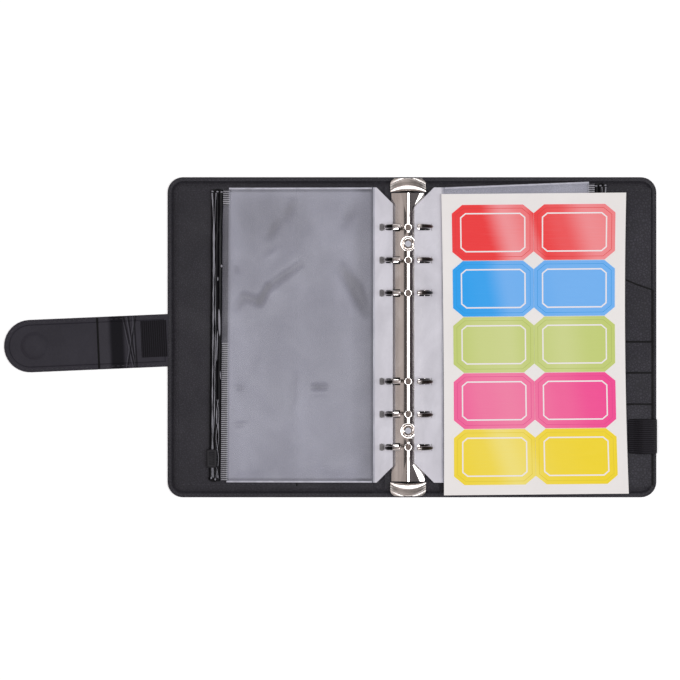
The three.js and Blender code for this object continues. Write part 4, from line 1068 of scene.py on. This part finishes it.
def zip_profile(side, name, seed):
    """Three soft ridges of glossy plastic, each of which wanders and tips a little along its length."""
    bm = bmesh.new()
    section = [(107.8, 0.1), (108.0, 0.45), (108.5, 0.8), (108.95, 0.92), (109.5, 0.92), (110.0, 0.78), (110.3, 0.4),
               (110.65, 0.72), (111.0, 0.86), (111.45, 0.86), (111.8, 0.7), (112.1, 0.35), (112.55, 0.8), (113.0, 0.97),
               (113.7, 0.97), (114.15, 0.75), (114.5, 0.2), (114.5, -0.3), (113.6, -0.9), (109.0, -0.9), (107.9, -0.4)]
    drawn_section(bm, section, -82.5, 85.0, 150)
    for vert in bm.verts:
        u, y = vert.co.x, vert.co.y
        ridge, middle = (0, 109.2) if u < 110.3 else (1, 111.2) if u < 112.1 else (2, 113.35)
        wander = noise_at(y * 0.07, seed, ridge) + 0.5 * noise_at(y * 0.23, seed, ridge + 7)
        tip = noise_at(y * 0.045, seed + 3, ridge) + 0.4 * noise_at(y * 0.3, seed + 3, ridge)
        vert.co.x += (0.3, 0.22, 0.16)[ridge] * wander
        if vert.co.z > 0.15:
            vert.co.z += 0.3 * tip * (u - middle)
    pouch_piece(f"{name}_zip_ridges", bm, [ZIP_BLACK], side, name, (f"{name}_zip_track",), 60)


def zip_highlight_strands(side, name, seed):
    """Painted highlights: two thin pale lines along the ridges, and two more that twine round each other near the foot.
    """
    bm = bmesh.new()
    for stops, wide in zip(ZIP_LINES, (0.36, 0.27)):
        part = bmesh.new()
        drawn_section(part, [(-0.5, 0.7), (0.5, 0.7), (0.4, 1.15), (-0.4, 1.15)], -81.0, 83.5, 150)
        for vert in part.verts:
            y = vert.co.y
            swell = max(0.16, 0.75 + 0.9 * noise_at(y * 0.11, seed, wide * 40))
            stray = 0.12 * noise_at(y * 0.3, seed, wide * 9)
            vert.co.x = between(stops, y) + vert.co.x * 2 * wide * swell + stray
        merge_into(bm, part)
    for phase in (0, 1):
        part = bmesh.new()
        drawn_section(part, [(109.0, 0.8), (109.2, 0.8), (109.2, 1.05), (109.0, 1.05)], -81.5, -36.0, 60)
        for vert in part.verts:
            turn = vert.co.y * 0.245 + phase * math.pi
            vert.co.x += 0.75 + 0.72 * math.sin(turn)
            vert.co.z += 0.1 * math.cos(turn)
        merge_into(bm, part)
    pouch_piece(f"{name}_zip_highlight_strands", bm, [ZIP_GLINT], side, name, (), 80)


def zip_ends(side, name, seed):
    """The melted lumps at both ends of the zip, and the pale blobs of painted highlight on it."""
    bm = bmesh.new()
    for y, lean, long in ((84.9, 1, 1.3), (-82.2, -1, 1.9)):
        part = bmesh.new()
        bmesh.ops.create_icosphere(part, subdivisions=4, radius=1)
        for vert in part.verts:
            lump = 1 + 0.35 * noise.noise(vert.co * 2.2 + Vector((seed, lean, 0)))
            vert.co = Vector((vert.co.x * 3.6 * lump + 111.2, vert.co.y * long * lump + y - lean * 0.6,
                              vert.co.z * 0.95 * lump))
        merge_into(bm, part)
    pouch_piece(f"{name}_zip_ends", bm, [ZIP_BLACK], side, name, (), 80)
    bm = bmesh.new()
    for u, y, wide, tall in ZIP_BLOBS:
        place = (Matrix.Translation((u, y, 0.95)) @ Matrix.Rotation(0.05 * (u - 110), 4, "Z")
                 @ Matrix.Diagonal((wide, tall, 0.25, 1)))
        bmesh.ops.create_uvsphere(bm, u_segments=10, v_segments=6, radius=1, matrix=place)
    pouch_piece(f"{name}_zip_painted_highlights", bm, [ZIP_GLINT], side, name, (), 80)


def zip_slider(side, name, centre):
    bm = bmesh.new()
    width, length, height = 6.2, 10.7, 4.1
    place = Matrix.Translation((113.6, centre, 0)) @ Matrix.Diagonal((width, length, height, 1))
    bmesh.ops.create_cube(bm, size=1, matrix=place)
    round_rims(bm, bm.faces[:], 0.7, 3)
    top = top_face(bm)
    step_in(bm, top, 0.7)
    step_in(bm, top, 0.35, -0.35)
    for step in range(-2, 3):
        rib = centre + step * 1.5
        rounded_slab(bm, box_corners(112.05, 115.15, rib - 0.3, rib + 0.3), 1.6, 2.0, 0.12)
    place_piece(f"{name}_slider_body", bm, [SLIDER_BLACK], f"{name}_slider", (f"{name}_zip_slider",), 50,
                page_place(side))


LEFT_FOLDS = [
    (86.3, 20.3, 81.4, 29.3, -1.3, 2.1), (81.4, 29.3, 62.4, 42.6, -0.62, 2.2), (95.0, 23.6, 86.3, 20.8, -0.62, 2.5),
    (102.5, 15.2, 95.0, 23.6, -0.5, 2.6), (86.0, 24.5, 78.0, 26.5, 0.35, 3.0), (80.7, 58.6, 76.0, 66.8, -0.6, 2.6),
    (84.2, 47.4, 77.5, 55.0, -0.15, 3.0), (82.0, 45.0, 76.0, 50.0, 0.3, 2.4), (37.6, 39.4, 24.1, 15.5, -1.05, 4.0),
    (42.0, 36.0, 33.0, 16.0, 0.25, 4.0), (70.9, 70.4, 67.5, 77.3, -0.5, 3.0), (36.3, 66.5, 32.2, 76.3, -0.5, 3.5),
    (26.0, 74.0, 28.0, 24.0, -0.32, 6.0), (101.0, 39.9, 99.5, 39.0, -0.7, 1.6), (55.0, -28.9, 48.0, -28.8, -0.75, 1.5),
    (54.0, -32.0, 47.0, -32.0, 0.25, 2.0), (66.0, -22.0, 68.0, -45.0, -0.3, 2.2), (62.0, -20.0, 63.5, -60.0, 0.12, 4.0),
    (95.0, -40.0, 70.0, -55.0, 0.12, 6.0), (101.0, -28.9, 96.0, -29.4, -0.35, 1.3),
    (101.5, -51.0, 94.0, -50.2, -0.3, 1.3), (104.0, 70.0, 55.0, 72.0, -0.4, 24.0), (92.0, -62.0, 88.0, -76.0, 0.2, 3.0),
    (30.0, -30.0, 34.0, -74.0, -0.2, 4.5),
]
RIGHT_FOLDS = [(90.0, 70.0, 60.0, 78.0, 0.25, 5.0), (40.0, 60.0, 30.0, -40.0, 0.25, 7.0)]
punched_margin(-1, "left", 7.4, 10.9, (8.3, 13.6), 16.6, 8.95)
punched_margin(1, "right", 3.5, 11.4, (5.2, 13.2), None, 3.0)
for (side, name), folds, sway, under, slider_y in zip(
        SIDES, (LEFT_FOLDS, RIGHT_FOLDS), (1.0, 0.35), ("front_pocket", "card_pocket_3"), (-70.1, -72.63)):
    pouch, seed = f"{name}_pouch", 4.0 + side
    film(f"{pouch}_front", side, pouch, f"{name}_front_film", FRONT_FILM, 0.45, 0.5 * sway, folds, 3.0 * side)
    film(f"{pouch}_back", side, pouch, f"{name}_back_film", BACK_FILM, -0.3, 0.2 * sway, [], 9.0 * side)
    welded_edges(side, name)
    ladder(side, name)
    zip_profile(side, name, seed)
    zip_highlight_strands(side, name, seed)
    zip_ends(side, name, seed)
    zip_slider(side, name, slider_y)


# ---------------------------------------------------------------- label sheet
SHEET_MIDDLE = SHEET_U + SHEET_WIDTH / 2
SHEET_TURN = (Matrix.Translation((SHEET_MIDDLE, -3.5, 0)) @ Matrix.Rotation(math.radians(0.5), 4, "Z")
              @ Matrix.Translation((-SHEET_MIDDLE, 3.5, 0)))
SHEET_PLACE = page_place(1) @ SHEET_TURN
FIRST_LABEL_Y, LABEL_PITCH = 60.55, 32.35


def curl(bm):
    """The sheet bends up a little at its long edges and draws in at its waist."""
    for vert in bm.verts:
        vert.co.z += 0.0001 * (vert.co.x - SHEET_MIDDLE) ** 2
        waist = 1 - ((vert.co.y + 4) / 87) ** 2
        vert.co.x -= waist * (0.45 + 0.95 * (vert.co.x - SHEET_MIDDLE) / SHEET_WIDTH * 2)


def backing_sheet():
    bm = bmesh.new()
    length = SHEET_HEAD - SHEET_FOOT
    middle = Matrix.Translation((SHEET_MIDDLE, (SHEET_HEAD + SHEET_FOOT) / 2, 2.42))
    bmesh.ops.create_grid(bm, x_segments=30, y_segments=24, size=0.5,
                          matrix=middle @ Matrix.Diagonal((SHEET_WIDTH, length, 1, 1)))
    curl(bm)
    thicken(bm, 0.16)
    piece = place_piece("label_sheet_paper", bm, [PAPER], "label_sheet", ("label_backing",), move=SHEET_PLACE)


def label_pair(colour, centre):
    """Two labels with cut corners, each with a cut line of painted shade round it and a white frame inside."""
    full, pale, sheen, lean = LABELS[colour]
    face_finish = make_label_colour(f"label_{colour}", full, pale, 0.0246 + lean * centre * MM,
                                    list(zip(SHEEN_PLACES, sheen)), lean)
    # The cut line is painted a little darker than the label as shade in the cut.
    cut_shade_finish = make_plastic(f"label_cut_shade_{colour}", [c * 0.9 for c in full], [c * 0.94 for c in full], 0.4, 0.5)
    half_x, half_y, cut_x, cut_y, aside = 23.7, 16.05, 6.1, 5.0, 23.75
    quarter = [(half_x, half_y - cut_y), (half_x - cut_x, half_y)]
    upper = quarter + [(-x, y) for x, y in reversed(quarter)]
    bm = bmesh.new()
    for column in (-1, 1):
        middle = SHEET_MIDDLE - 0.1 + column * aside
        points = upper + [(-x, -y) for x, y in upper]
        face = flat_face(bm, [(middle + x, centre + y) for x, y in points], 2.6)
        for inward, index in ((1.95, 0), (0.25, 1), (2.5, 0), (0.78, 2)):
            for ring in step_in(bm, face, inward):
                ring.material_index = index
    curl(bm)
    thicken(bm, 0.1)
    place_piece(f"label_row_{colour}", bm, [face_finish, cut_shade_finish, LABEL_LINE], "label_sheet", (f"labels_{colour}",),
                move=SHEET_PLACE)


backing_sheet()
for row, colour in enumerate(LABELS):
    label_pair(colour, FIRST_LABEL_Y - LABEL_PITCH * row)


# ---------------------------------------------------------------- solids that stay as they are
# The blades take the darkened steel, painted shade.
for node, finish in {"left_blade": SHADED_BLADE_STEEL, "right_blade": SHADED_BLADE_STEEL, "catch_magnet": MAGNET}.items():
    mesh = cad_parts[node].data
    mesh.materials.clear()
    mesh.materials.append(finish)


# ---------------------------------------------------------------- floor, light and camera
def studio():
    floor_mesh = bmesh.new()
    bmesh.ops.create_grid(floor_mesh, x_segments=1, y_segments=1, size=4, matrix=Matrix.Translation((0, 0, -0.0004)))
    mesh = bpy.data.meshes.new("pale_floor")
    floor_mesh.to_mesh(mesh)
    floor_mesh.free()
    finish, tree, shader = new_finish("pale_floor", Roughness=0.9, Emission_Strength=0.35)
    shader.inputs["Base Color"].default_value = (0.92, 0.92, 0.92, 1)
    shader.inputs["Emission Color"].default_value = (1, 1, 1, 1)
    mesh.materials.append(finish)
    floor = bpy.data.objects.new("pale_floor", mesh)
    scene.collection.objects.link(floor)
    aim = Vector((-0.04, 0, 0))
    for name, place, size, power, colour in (
        ("overhead_softbox", (0.0, 0.0, 1.7), (0.5, 1.3), 13.5, (0.99, 1, 1.03)),
        ("right_softbox", (0.95, 0.0, 1.6), (0.5, 1.3), 7.5, (0.99, 1, 1.02)),
    ):
        lamp = bpy.data.lights.new(name, "AREA")
        lamp.shape = "RECTANGLE"
        lamp.size, lamp.size_y = size
        lamp.energy = power
        lamp.color = colour
        box = bpy.data.objects.new(name, lamp)
        box.location = place
        box.rotation_euler = (aim - Vector(place)).to_track_quat("-Z", "Y").to_euler()
        scene.collection.objects.link(box)
    world = bpy.data.worlds.new("studio")
    scene.world = world
    world.use_nodes = True
    tree = world.node_tree
    heading = tree.nodes.new("ShaderNodeTexCoord").outputs["Generated"]
    heading = add_node(tree, "ShaderNodeSeparateXYZ", {0: heading}).outputs
    room = remap(tree, heading["Z"], 0.3, 0.82, 0.12, 1.0)
    wall = remap(tree, heading["X"], -0.3, 0.4, 1.0, 0.22)
    ends = remap(tree, calc(tree, "ABSOLUTE", heading["Y"]), 0.86, 0.95, 0.0, 1.0)
    glow = calc(tree, "MAXIMUM", calc(tree, "MULTIPLY", room, wall), ends)
    backdrop = blend_colours(tree, glow, (0.02, 0.02, 0.02, 1), (0.46, 0.41, 0.395, 1))
    tree.links.new(backdrop, tree.nodes["Background"].inputs["Color"])
    camera = bpy.data.cameras.new("camera")
    height, picture_width = 1.4, 0.3943
    camera.sensor_width = 36
    camera.lens = 36 * (height - 0.004) / picture_width
    camera.clip_end = 20
    eye = bpy.data.objects.new("camera", camera)
    eye.location = (-0.0418, -0.0016, height)
    scene.collection.objects.link(eye)
    scene.camera = eye
    scene.view_settings.view_transform = "Standard"


studio()
